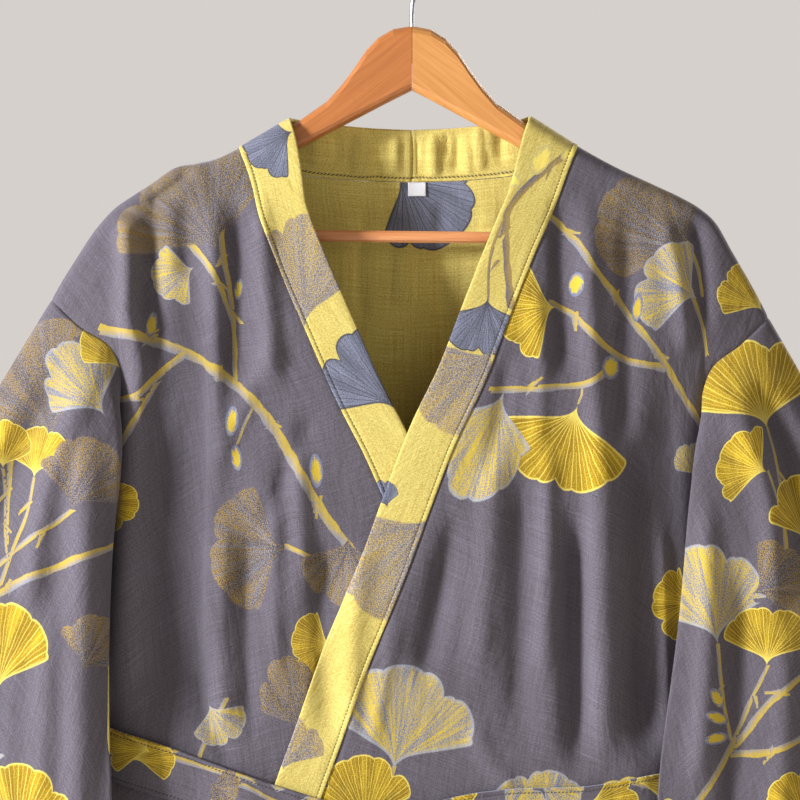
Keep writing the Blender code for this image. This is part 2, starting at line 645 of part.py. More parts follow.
def build_cloth():
    skirt = 1 + np.arange(1, SKIRT_ROWS + 1) / SKIRT_ROWS
    rows = np.concatenate([ARMHOLE_ROWS, skirt])
    columns = np.arange(FRONT_COLUMNS + 1) / FRONT_COLUMNS
    down, across = np.meshgrid(rows, columns, indexing="ij")
    fronts = {
        side: Sheet(name, front_sheet(side, down, across), WALL, "cloth_grey", side)
        for side, name in ((-1, "front_under"), (1, "front_over"))
    }
    shoulder_shares = 1 + np.arange(1, SHOULDER_COLUMNS + 1) / SHOULDER_COLUMNS
    half_back = np.concatenate([NECK_SHARES, shoulder_shares])
    back_at = np.concatenate([-half_back[:0:-1], half_back])
    down, across = np.meshgrid(rows, back_at, indexing="ij")
    back = Sheet("back", back_sheet(down, across), WALL, "cloth_grey", -1)

    half = np.array(ARMHOLE_ROWS) / 2
    turns = np.concatenate([half, 1 - half[-2::-1]])
    down, across = np.meshgrid(SLEEVE_RINGS, turns, indexing="ij")
    sleeves = {
        side: Sheet(name, sleeve_sheet(side, down, across), WALL, "cloth_grey", -side, closed=True)
        for side, name in ((-1, "sleeve_left"), (1, "sleeve_right"))
    }

    half_neck = len(NECK_SHARES) - 1
    band_rows = np.concatenate([np.array(NECK_SHARES[:-1]) - 1, rows])
    down, across = np.meshgrid(band_rows, (0, 0.5, 1), indexing="ij")
    bands = {
        side: Sheet(name, band_sheet(side, down, across), BAND_WALL, "cloth_yellow", -side)
        for side, name in ((-1, "neckband_under"), (1, "neckband_over"))
    }

    arm, neck = len(ARMHOLE_ROWS), SHOULDER_COLUMNS
    underarms = {side: sleeve.normals[0, arm - 1].copy() for side, sleeve in sleeves.items()}
    for side in (-1, 1):
        front, band, sleeve = fronts[side], bands[side], sleeves[side]
        back_edge = 0 if side < 0 else -1
        into_plane(front.normals[0])
        into_plane(front.normals[arm - 1:, -1])
        into_plane(back.normals[arm - 1:, back_edge])
        shoulder = slice(0, neck + 1) if side < 0 else slice(-neck - 1, None)
        into_plane(back.normals[0, shoulder])
        into_plane(band.normals[half_neck])
        share_normals(front.normals[:arm, -1], sleeve.normals[0, :arm])
        share_normals(back.normals[:arm, back_edge], sleeve.normals[0, : arm - 2 : -1])
        share_normals(front.normals[:, 0], band.normals[half_neck:, 0])
        middle = neck + half_neck
        if side < 0:
            seam = back.normals[0, neck: middle + 1]
            share_normals(seam, band.normals[half_neck::-1, 0])
        else:
            seam = back.normals[0, middle: middle + half_neck + 1]
            share_normals(seam, band.normals[: half_neck + 1, 0])
    for side in (-1, 1):
        front, band, sleeve = fronts[side], bands[side], sleeves[side]
        back_edge = 0 if side < 0 else -1
        top = front.normals[0, -1], back.normals[0, back_edge], sleeve.normals[0, 0]
        foot = front.normals[arm - 1, -1], back.normals[arm - 1, back_edge]
        for normal in (*top, *foot):
            into_plane(normal)
        share_normals(*top)
        share_normals(*foot)
        sleeve.normals[0, arm - 1] = underarms[side]
        sleeve.normals[0, -1] = sleeve.normals[0, 0]
        band.normals[0, :, 0] = 0
        band.normals[0] /= np.linalg.norm(band.normals[0], axis=-1, keepdims=True)

    gap = SEAM_GAP / 2
    for sheet in fronts.values():
        sheet.pull_in(1, False, gap)
        sheet.pull_in(1, True, gap)
        sheet.points[0, :, 1] = -gap
        sheet.points[arm - 1:, -1, 1] = -gap
    back.pull_in(0, False, gap)
    back.pull_in(1, False, gap)
    back.pull_in(1, True, gap)
    back.points[0, :neck + 1, 1] = gap
    back.points[0, -neck - 1:, 1] = gap
    back.points[arm - 1:, 0, 1] = gap
    back.points[arm - 1:, -1, 1] = gap
    for side in (-1, 1):
        near_underarm = np.exp(-(((np.arange(len(turns)) - arm + 1) / EASE_SPREAD) ** 2))
        ease = np.array(EASE_RINGS)[:, None] * near_underarm
        sleeves[side].pull_in(0, False, gap)
        sleeves[side].points[:len(EASE_RINGS), :, 0] += side * UNDERARM_EASE * ease
        bands[side].pull_in(1, False, gap)
        bands[side].points[0, :, 0] = side * gap
    for sheet in (back, *fronts.values(), *bands.values(), *sleeves.values()):
        add_wall(sheet)


def build_belt():
    turns = np.arange(BELT_STEPS + 1) / BELT_STEPS
    rises = np.array([0.5, 0.0, -0.5])
    rise, turn = np.meshgrid(rises, turns, indexing="ij")
    add_wall(Sheet("belt_round", belt_sheet(turn, rise), BELT_WALL, "cloth_grey", -1, closed=True))
    shares = np.arange(END_STEPS + 1) / END_STEPS
    down, across = np.meshgrid(shares, (0, 0.5, 1), indexing="ij")
    for name, line, clear in zip(("belt_end_left", "belt_end_right"), (END_LEFT, END_RIGHT), END_CLEARS):
        add_wall(Sheet(name, end_sheet(line, down, across, clear), BELT_WALL, "cloth_grey", 1))


def build_knot():
    """A plain knot: a soft block, pinched where the belt's layers turn through it."""
    bm = bmesh.new()
    bmesh.ops.create_icosphere(bm, subdivisions=3, radius=1.0)
    width, thickness, height = KNOT_SIZE
    front = float(belt_sheet(np.array(KNOT_TURN), np.array(0.0))[1])
    middle = front - (thickness + BELT_WALL) / 2 - KNOT_SEAT
    for vert in bm.verts:
        x, y, z = vert.co
        power = KNOT_SQUARENESS
        square = (abs(x) ** power + abs(y) ** power + abs(z) ** power) ** (-1 / power)
        pinch = 1 - KNOT_PINCH * math.exp(-((z / KNOT_PINCH_HEIGHT) ** 2)) * abs(x)
        vert.co = Vector((
            KNOT_X + x * square * pinch * width / 2,
            middle + y * square * thickness / 2,
            KNOT_Z + z * square * height / 2,
        )) * MM
    mesh = bpy.data.meshes.new("belt_knot")
    bm.to_mesh(mesh)
    bm.free()
    mesh.shade_smooth()
    add_object("belt_knot", mesh, "cloth_grey")


def build_label():
    across, down = np.meshgrid(np.linspace(-0.5, 0.5, 4), np.linspace(0, 1, 3))
    x = LABEL_X + across * LABEL_SIZE[0]
    z = LABEL_TOP_Z - down * LABEL_SIZE[1]
    y = depth(x, z, False) - WALL / 2 - LABEL_WALL / 2 - SEAM_GAP
    add_wall(Sheet("size_label", np.stack([x, y, z], -1), LABEL_WALL, "label_white", 1))


def capped_loft(name, rings, material):
    """A closed solid through rings of the same number of points."""
    bm = bmesh.new()
    loops = [[bm.verts.new(Vector(point) * MM) for point in ring] for ring in rings]
    sides = len(rings[0])
    for near, far in zip(loops, loops[1:]):
        for i in range(sides):
            j = (i + 1) % sides
            bm.faces.new((near[i], near[j], far[j], far[i]))
    bm.faces.new(loops[0])
    bm.faces.new(loops[-1])
    bmesh.ops.recalc_face_normals(bm, faces=bm.faces[:])
    mesh = bpy.data.meshes.new(name)
    bm.to_mesh(mesh)
    bm.free()
    mesh.shade_smooth()
    mesh.set_sharp_from_angle(angle=math.radians(40))
    return add_object(name, mesh, material)


def rod(name, points, radius, material, resolution):
    data = bpy.data.curves.new(name, "CURVE")
    data.dimensions = "3D"
    data.bevel_depth = radius * MM
    data.bevel_resolution = resolution
    data.use_fill_caps = True
    spline = data.splines.new("POLY")
    spline.points.add(len(points) - 1)
    for point, at in zip(spline.points, points):
        point.co = (*(Vector(at) * MM), 1)
    data.materials.append(principled(material))
    piece = bpy.data.objects.new(name, data)
    bpy.context.scene.collection.objects.link(piece)
    return piece


def drill(piece, foot, top, radius):
    """Cuts a round hole between two points out of a piece."""
    foot, top = Vector(foot) * MM, Vector(top) * MM
    bm = bmesh.new()
    turn = (top - foot).to_track_quat("Z", "Y").to_matrix().to_4x4()
    bmesh.ops.create_cone(
        bm, cap_ends=True, segments=BORE_SIDES, radius1=radius * MM, radius2=radius * MM,
        depth=(top - foot).length, matrix=Matrix.Translation((foot + top) / 2) @ turn,
    )
    mesh = bpy.data.meshes.new(piece.name + "_drill")
    bm.to_mesh(mesh)
    bm.free()
    cutter = bpy.data.objects.new(mesh.name, mesh)
    bpy.context.scene.collection.objects.link(cutter)
    cutter.hide_render = True
    cutter.display_type = "WIRE"
    cut = piece.modifiers.new("bore " + cutter.name, "BOOLEAN")
    cut.operation = "DIFFERENCE"
    cut.solver = "EXACT"
    cut.object = cutter


def tilted(point):
    """A point of the level hanger, let down at the right and raised at the left."""
    x, y, z = point
    return x, y, z - x * math.tan(math.radians(HANGER_TILT))


def build_hanger():
    for side, name in ((-1, "hanger_arm_left"), (1, "hanger_arm_right")):
        rings = []
        for x, top, bottom in WOOD:
            half = WOOD_THICKNESS / 2 * (1.0 if x < WOOD_END - WOOD_TIP else WOOD_TIP_THINNING)
            cap = min(half, (top - bottom) / 2)
            middle, straight = (top + bottom) / 2, (top - bottom) / 2 - cap
            ring = []
            for i in range(WOOD_SIDES):
                angle = 2 * math.pi * (i + 0.5) / WOOD_SIDES
                rise = math.copysign(straight, math.sin(angle)) + cap * math.sin(angle)
                ring.append(tilted((side * x, half * math.cos(angle), middle + rise)))
            rings.append(ring)
        arm = capped_loft(name, rings, "wood")
        socket = side * (BAR_HALF - BAR_SOCKET_DEPTH), side * (BAR_HALF + BAR_SOCKET_FIT)
        drill(
            arm,
            tilted((socket[0], 0, BAR_Z)),
            tilted((socket[1], 0, BAR_Z)),
            BAR_RADIUS + BAR_SOCKET_FIT,
        )
        drill(
            arm,
            (0, 0, SHANK_FOOT_Z - BAR_SOCKET_FIT),
            (0, 0, CREST_Z + SHANK_BORE_RISE),
            WIRE_RADIUS + BAR_SOCKET_FIT,
        )
    bar = [tilted((side * BAR_HALF, 0, BAR_Z)) for side in (-1, 1)]
    rod("hanger_bar", bar, BAR_RADIUS, "wood_red", 3)

    middle = WIRE_RADIUS - HOOK_RADIUS
    bend = [
        (HOOK_RADIUS * math.cos(angle), 0, middle + HOOK_RADIUS * math.sin(angle))
        for angle in np.linspace(math.radians(HOOK_FROM), math.radians(HOOK_TO), HOOK_BENDS)
    ]
    line = along(np.array([*SHANK, *bend]), np.linspace(0, 1, HOOK_POINTS))
    rod("hanger_hook", [tuple(point) for point in line], WIRE_RADIUS, "steel", 2)


def main():
    for old in list(bpy.data.objects):
        bpy.data.objects.remove(old)
    build_cloth()
    build_belt()
    build_knot()
    build_label()
    build_hanger()


main()
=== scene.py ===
"""A kimono robe of woven double cloth on a wooden hanger, dressed for the picture.

All sizes are millimetres until a mesh is made. The origin is the inner top of the hanger's hook,
+Z is up, and the front of the robe faces -Y. Left and right are the viewer's.
"""

from collections import namedtuple
import math

import bmesh
import bpy
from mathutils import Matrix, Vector
import numpy as np


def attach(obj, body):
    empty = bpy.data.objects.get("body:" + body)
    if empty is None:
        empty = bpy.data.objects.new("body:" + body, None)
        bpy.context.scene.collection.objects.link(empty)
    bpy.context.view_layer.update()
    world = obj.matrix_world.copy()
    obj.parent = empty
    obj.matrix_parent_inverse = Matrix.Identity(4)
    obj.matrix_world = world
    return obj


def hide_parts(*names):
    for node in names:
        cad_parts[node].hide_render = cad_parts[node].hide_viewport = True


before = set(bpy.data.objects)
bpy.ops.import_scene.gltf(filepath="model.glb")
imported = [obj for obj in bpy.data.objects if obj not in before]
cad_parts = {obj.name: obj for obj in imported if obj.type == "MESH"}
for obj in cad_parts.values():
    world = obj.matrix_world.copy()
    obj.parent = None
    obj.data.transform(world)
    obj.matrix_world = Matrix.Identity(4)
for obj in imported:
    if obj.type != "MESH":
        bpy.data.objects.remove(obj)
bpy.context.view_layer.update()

MM = 0.001

# Driving sizes of the cloth
WALL = 1.6
BAND_WALL = 2.6
BELT_WALL = 2.4
SEAM_GAP = 0.35
UNDERARM_EASE = 2.4
UNDERARM_Z = -505.0
HEM_Z = -1250.0
BAND_WIDTH = 35.0
BELT_WIDTH = 38.0
SHOULDER_ROUND = 10.5
SIDE_ROUND = 70.0

# The upper front's lift off the lower one: where it starts in height and fades in width
OVERLAP_LIFT = 6.0
LIFT_TOP_Z, LIFT_GROWTH = -225.0, 100.0
LIFT_SIDE_X, LIFT_FADE = 215.0, 60.0

# Rows and columns of the panels
NECK_FOOT_SHARE = 0.44
SIDE_CROWDING = 1.35
SHOULDER_POINTS = 60

# Columns: x, z. The line over the shoulders, which is also the crest of the neckband's sides.
CREST = (
    (-266, -273), (-258, -259), (-248, -243), (-234, -221.8), (-219.8, -206), (-206, -196.2),
    (-191, -186.5), (-175, -175.5), (-159, -172.4), (-145, -169.1), (-127.5, -160.8),
    (-110, -150.5), (-90.3, -138.8), (-70, -121), (-50, -103), (-30, -80), (0, -60),
    (30, -80), (50, -103), (70, -121), (87, -137.3), (104, -148.5), (122, -159.5),
    (150, -175.0), (180, -188.9), (200, -198.4), (212, -205.4), (225, -217.6),
    (235.3, -235.8), (253.1, -266.9), (263, -286),
)

# Columns: z, half width of the body at its side seams.
SIDE_LEFT = (
    (-311, 214.5), (-400, 218), (-450, 221), (-505, 226), (-580, 230), (-650, 233),
    (-760, 243), (-950, 262), (-1120, 276), (-1250, 282),
)
SIDE_RIGHT = (
    (-331, 213.5), (-400, 216.5), (-450, 218.6), (-505, 222), (-580, 226), (-650, 229),
    (-760, 240), (-950, 258), (-1120, 272), (-1250, 278),
)

# Columns: x, z. The armhole seam, from the top of the shoulder line to the underarm.
ARMHOLE_LEFT = (
    (-266, -273), (-243, -294), (-222, -308), (-215.5, -322), (-217, -360), (-219, -400),
    (-222, -450), (-226, -505),
)
ARMHOLE_RIGHT = (
    (263, -286), (241, -307), (221, -323), (214.5, -338), (215.5, -365), (217.5, -400),
    (219.5, -450), (222, -505),
)

# Columns: x, z. The seam between a front and its neckband, shoulder to hem.
NECK_SEAM_LEFT = (
    (-127.5, -160.8), (-119, -184), (-111, -215), (-94.7, -257.2), (-77.7, -296.4),
    (-53.3, -351.2), (-34, -388.9), (-20.7, -419.3), (2, -472), (16, -505), (33, -550),
    (47, -590), (66, -642), (92, -740), (108, -900), (118, -1250),
)
NECK_SEAM_RIGHT = (
    (122, -159.5), (115.5, -176), (107.3, -198), (88.8, -241.7), (69.6, -290.5),
    (51.1, -337.9), (31.8, -378), (14.8, -422), (-3.7, -472.6), (-18, -508), (-36.3, -552),
    (-50, -592), (-68.8, -645), (-92, -740), (-108, -900), (-118, -1250),
)

# Columns: share from centre back to the shoulder, z of the neck seam, z of the free edge.
BACK_NECK = ((0, -184.5, -146), (0.36, -183, -144.6), (0.68, -178.5, -142), (0.9, -170, -139.5))
FREE_EDGE_LEFT = (-90.3, -138.8)
FREE_EDGE_RIGHT = (87.0, -137.3)

# Depth of the cloth at each height. Columns: z, front, back.
DEPTH = (
    (-60, 16, 20), (-200, 24, 22), (-400, 25, 24), (-560, 24, 25), (-650, 18, 20),
    (-760, 24, 26), (-1000, 29, 31), (-1250, 32, 35),
)
DEPTH_REACH = 110.0
FOLD_ONSET = 30.0
FOLD_HEAD, FOLD_TAIL = 0.3, 0.2
FOLD_SIDE_RATE = 2.5

# Share of the body's depth that is gone at its side edge. Columns: z, share.
SIDE_TAPER = ((-280, 0), (-331, 0.3), (-400, 0.85), (-470, 0.92), (-505, 1), (-1250, 1))

Fold = namedtuple("Fold", "x_top z_top x_foot z_foot width height")

FRONT_FOLDS = (
    Fold(-188, -250, -190, -600, 20, -7),
    Fold(-148, -236, -152, -560, 14, 4.5),
    Fold(-118, -380, -78, -520, 15, 3),
    Fold(140, -340, 146, -625, 12, 4.5),
    Fold(122, -400, 121, -600, 10, -3),
    Fold(104, -420, 100, -625, 12, 3.5),
    Fold(186, -300, 181, -612, 16, -8),
    Fold(26, -450, 2, -545, 11, -3),
    Fold(-205, -690, -228, -1290, 19, 8),
    Fold(-172, -680, -186, -1290, 17, -6),
    Fold(-128, -690, -140, -1290, 20, 7),
    Fold(-84, -680, -92, -1290, 16, -5),
    Fold(-30, -700, -42, -1290, 22, 6),
    Fold(30, -690, 34, -1290, 19, -6),
    Fold(66, -690, 84, -1290, 20, 8),
    Fold(112, -680, 132, -1290, 17, -6),
    Fold(158, -690, 184, -1290, 20, 9),
    Fold(196, -690, 232, -1290, 17, -6),
)
BACK_FOLDS = (
    Fold(-190, -250, -196, -588, 18, 6),
    Fold(-146, -260, -152, -588, 16, -5),
    Fold(-96, -300, -104, -588, 20, 5),
    Fold(20, -240, 26, -588, 24, -4),
    Fold(88, -280, 96, -588, 20, 5),
    Fold(140, -250, 150, -588, 16, -5),
    Fold(188, -260, 190, -588, 17, 6),
    Fold(-210, -700, -236, -1290, 18, 9),
    Fold(-160, -700, -180, -1290, 17, -7),
    Fold(-112, -700, -124, -1290, 20, 8),
    Fold(-50, -700, -62, -1290, 20, -7),
    Fold(12, -700, 10, -1290, 22, 8),
    Fold(70, -700, 78, -1290, 18, -7),
    Fold(120, -700, 136, -1290, 20, 9),
    Fold(170, -700, 192, -1290, 17, -7),
)

# One ring of a sleeve: its share of the length, then the outer fold, the inner fold at the
# front, the underarm and the inner fold at the back, each as x, y, z. The bulges push the
# middles of the front and back faces out, and the shares place the two folds on the ring.
Ring = namedtuple("Ring", "along outer fold under inner front_bulge back_bulge fold_at inner_at")

SLEEVE_LEFT = (
    Ring(0, (-266, 0, -273), (-216, -19, -316), (-226, 0, -505),
        (-216, 19, -316), 8, 8, 0.13, 0.13),
    Ring(0.12, (-292.5, -3, -317), (-216, -38, -350), (-234, -6, -528),
        (-230, 21, -360), 13, 9, 0.18, 0.16),
    Ring(0.36, (-345, -8, -407), (-219, -47, -455), (-241, -20, -575),
        (-252, 17, -475), 17, 11, 0.29, 0.25),
    Ring(0.57, (-384, -12, -489), (-220, -54, -545), (-243, -35, -618),
        (-277, 13, -555), 19, 12, 0.37, 0.28),
    Ring(0.77, (-413, -16, -571), (-220, -57, -632), (-237, -47, -675),
        (-300, 7, -640), 17, 12, 0.42, 0.28),
    Ring(1, (-434, -22, -664), (-218, -56, -744), (-228, -53, -750),
        (-312, -10, -722), 11, 9, 0.47, 0.28),
)
SLEEVE_RIGHT = (
    Ring(0, (263, 0, -286), (215, -19, -334), (222, 0, -505), (215, 19, -334), 8, 8, 0.13, 0.13),
    Ring(0.12, (287.5, -3, -329), (211, -38, -366), (234, -6, -528),
        (231, 21, -374), 13, 9, 0.18, 0.16),
    Ring(0.36, (337, -8, -420), (199, -47, -470), (236, -21, -575),
        (250, 17, -482), 17, 11, 0.3, 0.25),
    Ring(0.57, (371, -12, -501), (190, -54, -556), (224, -41, -616),
        (264, 11, -562), 19, 12, 0.39, 0.28),
    Ring(0.77, (395, -16, -581), (181, -57, -636), (208, -51, -668),
        (276, 5, -640), 17, 12, 0.42, 0.28),
    Ring(1, (410, -22, -668), (180, -56, -746), (192, -54, -751),
        (284, -12, -724), 11, 9, 0.47, 0.28),
)
RING_BLEND = 0.2
TUCK_BULGE = 3.0

# Height of the armhole over which the neckband leaves the shoulder, as a share
BAND_START = 0.16
BAND_STEP = 0.004

# Columns: x, z of the belt's middle line in front, left to right.
BELT_FRONT = (
    (-236, -603), (-220, -608), (-170, -623), (-140, -634), (-105, -646), (-60, -660),
    (-34, -668), (7, -662), (43, -654), (66, -651), (132, -648), (178, -640), (236, -634),
)
BELT_CLEAR = 4.0
BELT_CORNER = 0.16
BELT_RISE_X, BELT_RISE_RUN = -160.0, 45.0
BELT_FALL_X, BELT_FALL_RUN = 200.0, 60.0
BAND_OUTER_X = -90.0
KNOT_X, KNOT_Z = -34.0, -668.0
KNOT_SIZE = (50.0, 24.0, 46.0)
KNOT_SQUARENESS = 3
KNOT_PINCH, KNOT_PINCH_HEIGHT = 0.16, 0.45
KNOT_TURN = 0.22
KNOT_SEAT = 0.5

# Columns: x, z of each belt end's middle line, from the knot to the tip.
END_TOP_Z = KNOT_Z - KNOT_SIZE[2] / 2 - SEAM_GAP
END_LEFT = ((-45, END_TOP_Z), (-54, -760), (-62, -860), (-66, -960), (-68, -1062))
END_RIGHT = ((-22, END_TOP_Z), (-10, -760), (0, -860), (3, -960), (6, -1030))
END_CLEARS = (8.0, 12.0)
END_LIFT, END_LIFT_SHARE = 9.0, 0.25

LABEL_SIZE = (13.3, 10.4)
LABEL_WALL = 0.5
LABEL_CURL = 0.9
LABEL_X, LABEL_TOP_Z = 3.7, -184.5


def eased(share):
    share = np.clip(share, 0.0, 1.0)
    return share * share * (3.0 - 2.0 * share)


def rounded(share):
    """A quarter circle: steep at 0, level from 1 on."""
    return np.sqrt(np.clip(1.0 - (1.0 - np.clip(share, 0.0, 1.0)) ** 2, 0.0, 1.0))


def through(knots, values, at):
    """A smooth curve through values at rising knots, read at any places."""
    knots = np.asarray(knots, float)
    values = np.asarray(values, float)
    flat = values.reshape(len(knots), -1)
    steps = np.diff(knots)
    slopes = np.diff(flat, axis=0) / steps[:, None]
    tangents = np.vstack([slopes[:1], np.zeros((len(knots) - 2, flat.shape[1])), slopes[-1:]])
    before, after = steps[:-1, None], steps[1:, None]
    tangents[1:-1] = (slopes[:-1] * after + slopes[1:] * before) / (before + after)
    at = np.asarray(at, float)
    place = np.clip(np.searchsorted(knots, at.ravel(), side="right") - 1, 0, len(steps) - 1)
    share = (np.clip(at.ravel(), knots[0], knots[-1]) - knots[place]) / steps[place]
    t, h = share[:, None], steps[place][:, None]
    result = (
        (2 * t**3 - 3 * t**2 + 1) * flat[place]
        + (t**3 - 2 * t**2 + t) * h * tangents[place]
        + (3 * t**2 - 2 * t**3) * flat[place + 1]
        + (t**3 - t**2) * h * tangents[place + 1]
    )
    return result.reshape(at.shape + values.shape[1:])


def column(table, index):
    return np.array([row[index] for row in table], float)


def along(points, share):
    """The place at a share of the length of a smooth line through points."""
    points = np.asarray(points, float)
    lengths = np.concatenate([[0], np.cumsum(np.linalg.norm(np.diff(points, axis=0), axis=1))])
    return through(lengths / lengths[-1], points, share)


def crest(x):
    return through(column(CREST, 0), column(CREST, 1), x)


def by_height(table, z, index=1):
    """A column of a table of falling z, read at z."""
    return through(-column(table, 0), column(table, index), -z)


def half_width(x, z):
    return np.where(x < 0, by_height(SIDE_LEFT, z), by_height(SIDE_RIGHT, z))


def relief(folds, x, z):
    total = np.zeros(np.broadcast(x, z).shape)
    for fold in folds:
        run = np.array([fold.x_foot - fold.x_top, fold.z_foot - fold.z_top], float)
        length = np.hypot(*run)
        dx, dz = x - fold.x_top, z - fold.z_top
        share = (dx * run[0] + dz * run[1]) / length**2
        across = (dx * run[1] - dz * run[0]) / length
        ends = eased(share / FOLD_HEAD) * eased((1 - share) / FOLD_TAIL)
        total = total + fold.height * np.exp(-((across / fold.width) ** 2)) * ends
    return total


def depth(x, z, front):
    """How far the cloth stands from the middle plane at x, z."""
    drop = np.maximum(crest(x) - z, 0.0)
    gain = by_height(DEPTH, z, 1 if front else 2) * (1 - np.exp(-drop / DEPTH_REACH))
    folds = relief(FRONT_FOLDS if front else BACK_FOLDS, x, z) * (1 - np.exp(-drop / FOLD_ONSET))
    inside = np.maximum(half_width(x, z) - np.abs(x), 0.0) / SIDE_ROUND
    taper = by_height(SIDE_TAPER, z) * (1 - rounded(inside))
    taper = np.where(z > SIDE_TAPER[0][0], 0.0, taper)
    above = eased((z - SIDE_TAPER[1][0]) / FOLD_ONSET + 1)
    folds = folds * (1 - taper) * eased(inside * FOLD_SIDE_RATE + above)
    return (SHOULDER_ROUND * rounded(drop / SHOULDER_ROUND) + gain) * (1 - taper) + folds


def overlap_lift(x, z):
    """How far the upper front stands off the lower one."""
    inward = eased((LIFT_SIDE_X - x) / LIFT_FADE)
    return OVERLAP_LIFT * inward * eased((LIFT_TOP_Z - z) / LIFT_GROWTH)


def row_height(row):
    """Row 0 is the shoulder, 1 the underarm and 2 the hem."""
    return np.clip(row, 0, 1), np.clip(row - 1, 0, 1)


def panel(row, blend, top, foot, skirt, inner, outer):
    """A sheet between four edges down to the underarm, which then falls to the hem.

    top, foot and skirt are x, z of each point's column at the shoulder, at the underarm and at
    the point's own height. inner and outer give the two side edges, and blend runs between them.
    """
    upper, _ = row_height(row)
    u, v = blend[..., None], upper[..., None]
    corners = (1 - v) * ((1 - u) * inner(0 * upper) + u * outer(0 * upper)) + v * (
        (1 - u) * inner(0 * upper + 1) + u * outer(0 * upper + 1)
    )
    sheet = (1 - v) * top + v * foot + (1 - u) * inner(upper) + u * outer(upper) - corners
    return np.where((row <= 1)[..., None], sheet, skirt)


def skirt_height(row):
    _, lower = row_height(row)
    return UNDERARM_Z + lower * (HEM_Z - UNDERARM_Z)


def neck_seam(side, row):
    """x, z of the seam between a front and its neckband."""
    table = NECK_SEAM_LEFT if side < 0 else NECK_SEAM_RIGHT
    upper, lower = row_height(np.asarray(row, float))
    top = table[0][1]
    z = top + upper * (UNDERARM_Z - top) + lower * (HEM_Z - UNDERARM_Z)
    return np.stack([through(-column(table, 1), column(table, 0), -z), z], -1)


def shoulder_line(side, across):
    """x, z along the shoulder, neck to armhole."""
    seam, armhole = (NECK_SEAM_LEFT, ARMHOLE_LEFT) if side < 0 else (NECK_SEAM_RIGHT, ARMHOLE_RIGHT)
    x = np.linspace(seam[0][0], armhole[0][0], SHOULDER_POINTS)
    return along(np.stack([x, crest(x)], -1), across)


def front_sheet(side, row, across):
    """Points of a front panel, before its wall is given. across runs from neckband to side."""
    row, across = np.broadcast_arrays(np.asarray(row, float), np.asarray(across, float))
    armhole = ARMHOLE_LEFT if side < 0 else ARMHOLE_RIGHT
    seam = NECK_SEAM_LEFT if side < 0 else NECK_SEAM_RIGHT

    def level(z):
        inner = through(-column(seam, 1), column(seam, 0), -z)
        outer = side * by_height(SIDE_LEFT if side < 0 else SIDE_RIGHT, z)
        x = inner + (outer - inner) * (1 - (1 - across) ** SIDE_CROWDING)
        return np.stack([x, z], -1)

    flat = panel(
        row, across,
        shoulder_line(side, across),
        level(np.full(row.shape, UNDERARM_Z)),
        level(skirt_height(row)),
        lambda v: neck_seam(side, v),
        lambda v: along(armhole, v),
    )
    x, z = flat[..., 0], flat[..., 1]
    y = -depth(x, z, True)
    if side > 0:
        y = y - overlap_lift(x, z)
    return np.stack([x, y, z], -1)


def back_neck_seam(share):
    """x, z of the seam at the back of the neck, share 0 at the left shoulder and 1 at the right."""
    half = through(column(BACK_NECK, 0), column(BACK_NECK, 1), np.linspace(0, 0.9, 10))
    half = np.append(half, [NECK_SEAM_LEFT[0][1]])
    shares = np.append(np.linspace(0, 0.9, 10), 1.0)
    left = np.stack([shares * NECK_SEAM_LEFT[0][0], half], -1)[::-1]
    half = np.append(half[:-1], [NECK_SEAM_RIGHT[0][1]])
    right = np.stack([shares * NECK_SEAM_RIGHT[0][0], half], -1)
    line = np.vstack([left, right[1:]])
    return through(np.linspace(0, 1, len(line)), line, share)


def back_sheet(row, across):
    """Points of the back. across is -2 and 2 at the armholes and -1 to 1 over the neck."""
    row, across = np.broadcast_arrays(np.asarray(row, float), np.asarray(across, float))
    wide = np.abs(across)

    def level(z):
        near_side = 1 - (1 - NECK_FOOT_SHARE) * (2 - np.clip(wide, 1, 2)) ** SIDE_CROWDING
        share = np.where(wide < 1, NECK_FOOT_SHARE * wide, near_side)
        reach = np.where(across < 0, -by_height(SIDE_LEFT, z), by_height(SIDE_RIGHT, z))
        return np.stack([reach * share, z], -1)

    left, right = (shoulder_line(side, np.clip(side * across - 1, 0, 1)) for side in (-1, 1))
    neck = back_neck_seam((1 + np.clip(across, -1, 1)) / 2)
    top = np.where((across < -1)[..., None], left, np.where((across > 1)[..., None], right, neck))
    flat = panel(
        row, (across + 2) / 4,
        top, level(np.full(row.shape, UNDERARM_Z)), level(skirt_height(row)),
        lambda v: along(ARMHOLE_LEFT, v),
        lambda v: along(ARMHOLE_RIGHT, v),
    )
    x, z = flat[..., 0], flat[..., 1]
    return np.stack([x, depth(x, z, False), z], -1)


def armhole_loop(side, turn):
    """The armhole seam as a ring: turn 0 at the top, through the front, 0.5 at the underarm."""
    turn = np.asarray(turn, float)
    flat = along(ARMHOLE_LEFT if side < 0 else ARMHOLE_RIGHT, 1 - np.abs(1 - 2 * turn))
    x, z = flat[..., 0], flat[..., 1]
    y = np.where(turn <= 0.5, -depth(x, z, True), depth(x, z, False))
    return np.stack([x, y, z], -1)


def sleeve_ring(ring, turn):
    """A smooth closed line through eight points of one ring."""
    outer, fold, under, inner = (np.array(p, float) for p in ring[1:5])
    front = (outer + fold) / 2 - (0, ring.front_bulge, 0)
    back = (outer + inner) / 2 + (0, ring.back_bulge, 0)
    tuck = (fold + under) / 2 - (0, TUCK_BULGE, 0)
    rear = (inner + under) / 2 + (0, TUCK_BULGE, 0)
    points = np.array([outer, front, fold, tuck, under, rear, inner, back])
    fold_at, inner_at = ring.fold_at, 1 - ring.inner_at
    places = np.array([
        0, fold_at / 2, fold_at, (fold_at + 0.5) / 2,
        0.5, (0.5 + inner_at) / 2, inner_at, (1 + inner_at) / 2,
    ])
    around = np.concatenate([places[-2:] - 1, places, places[:3] + 1])
    return through(around, np.vstack([points[-2:], points, points[:3]]), turn)


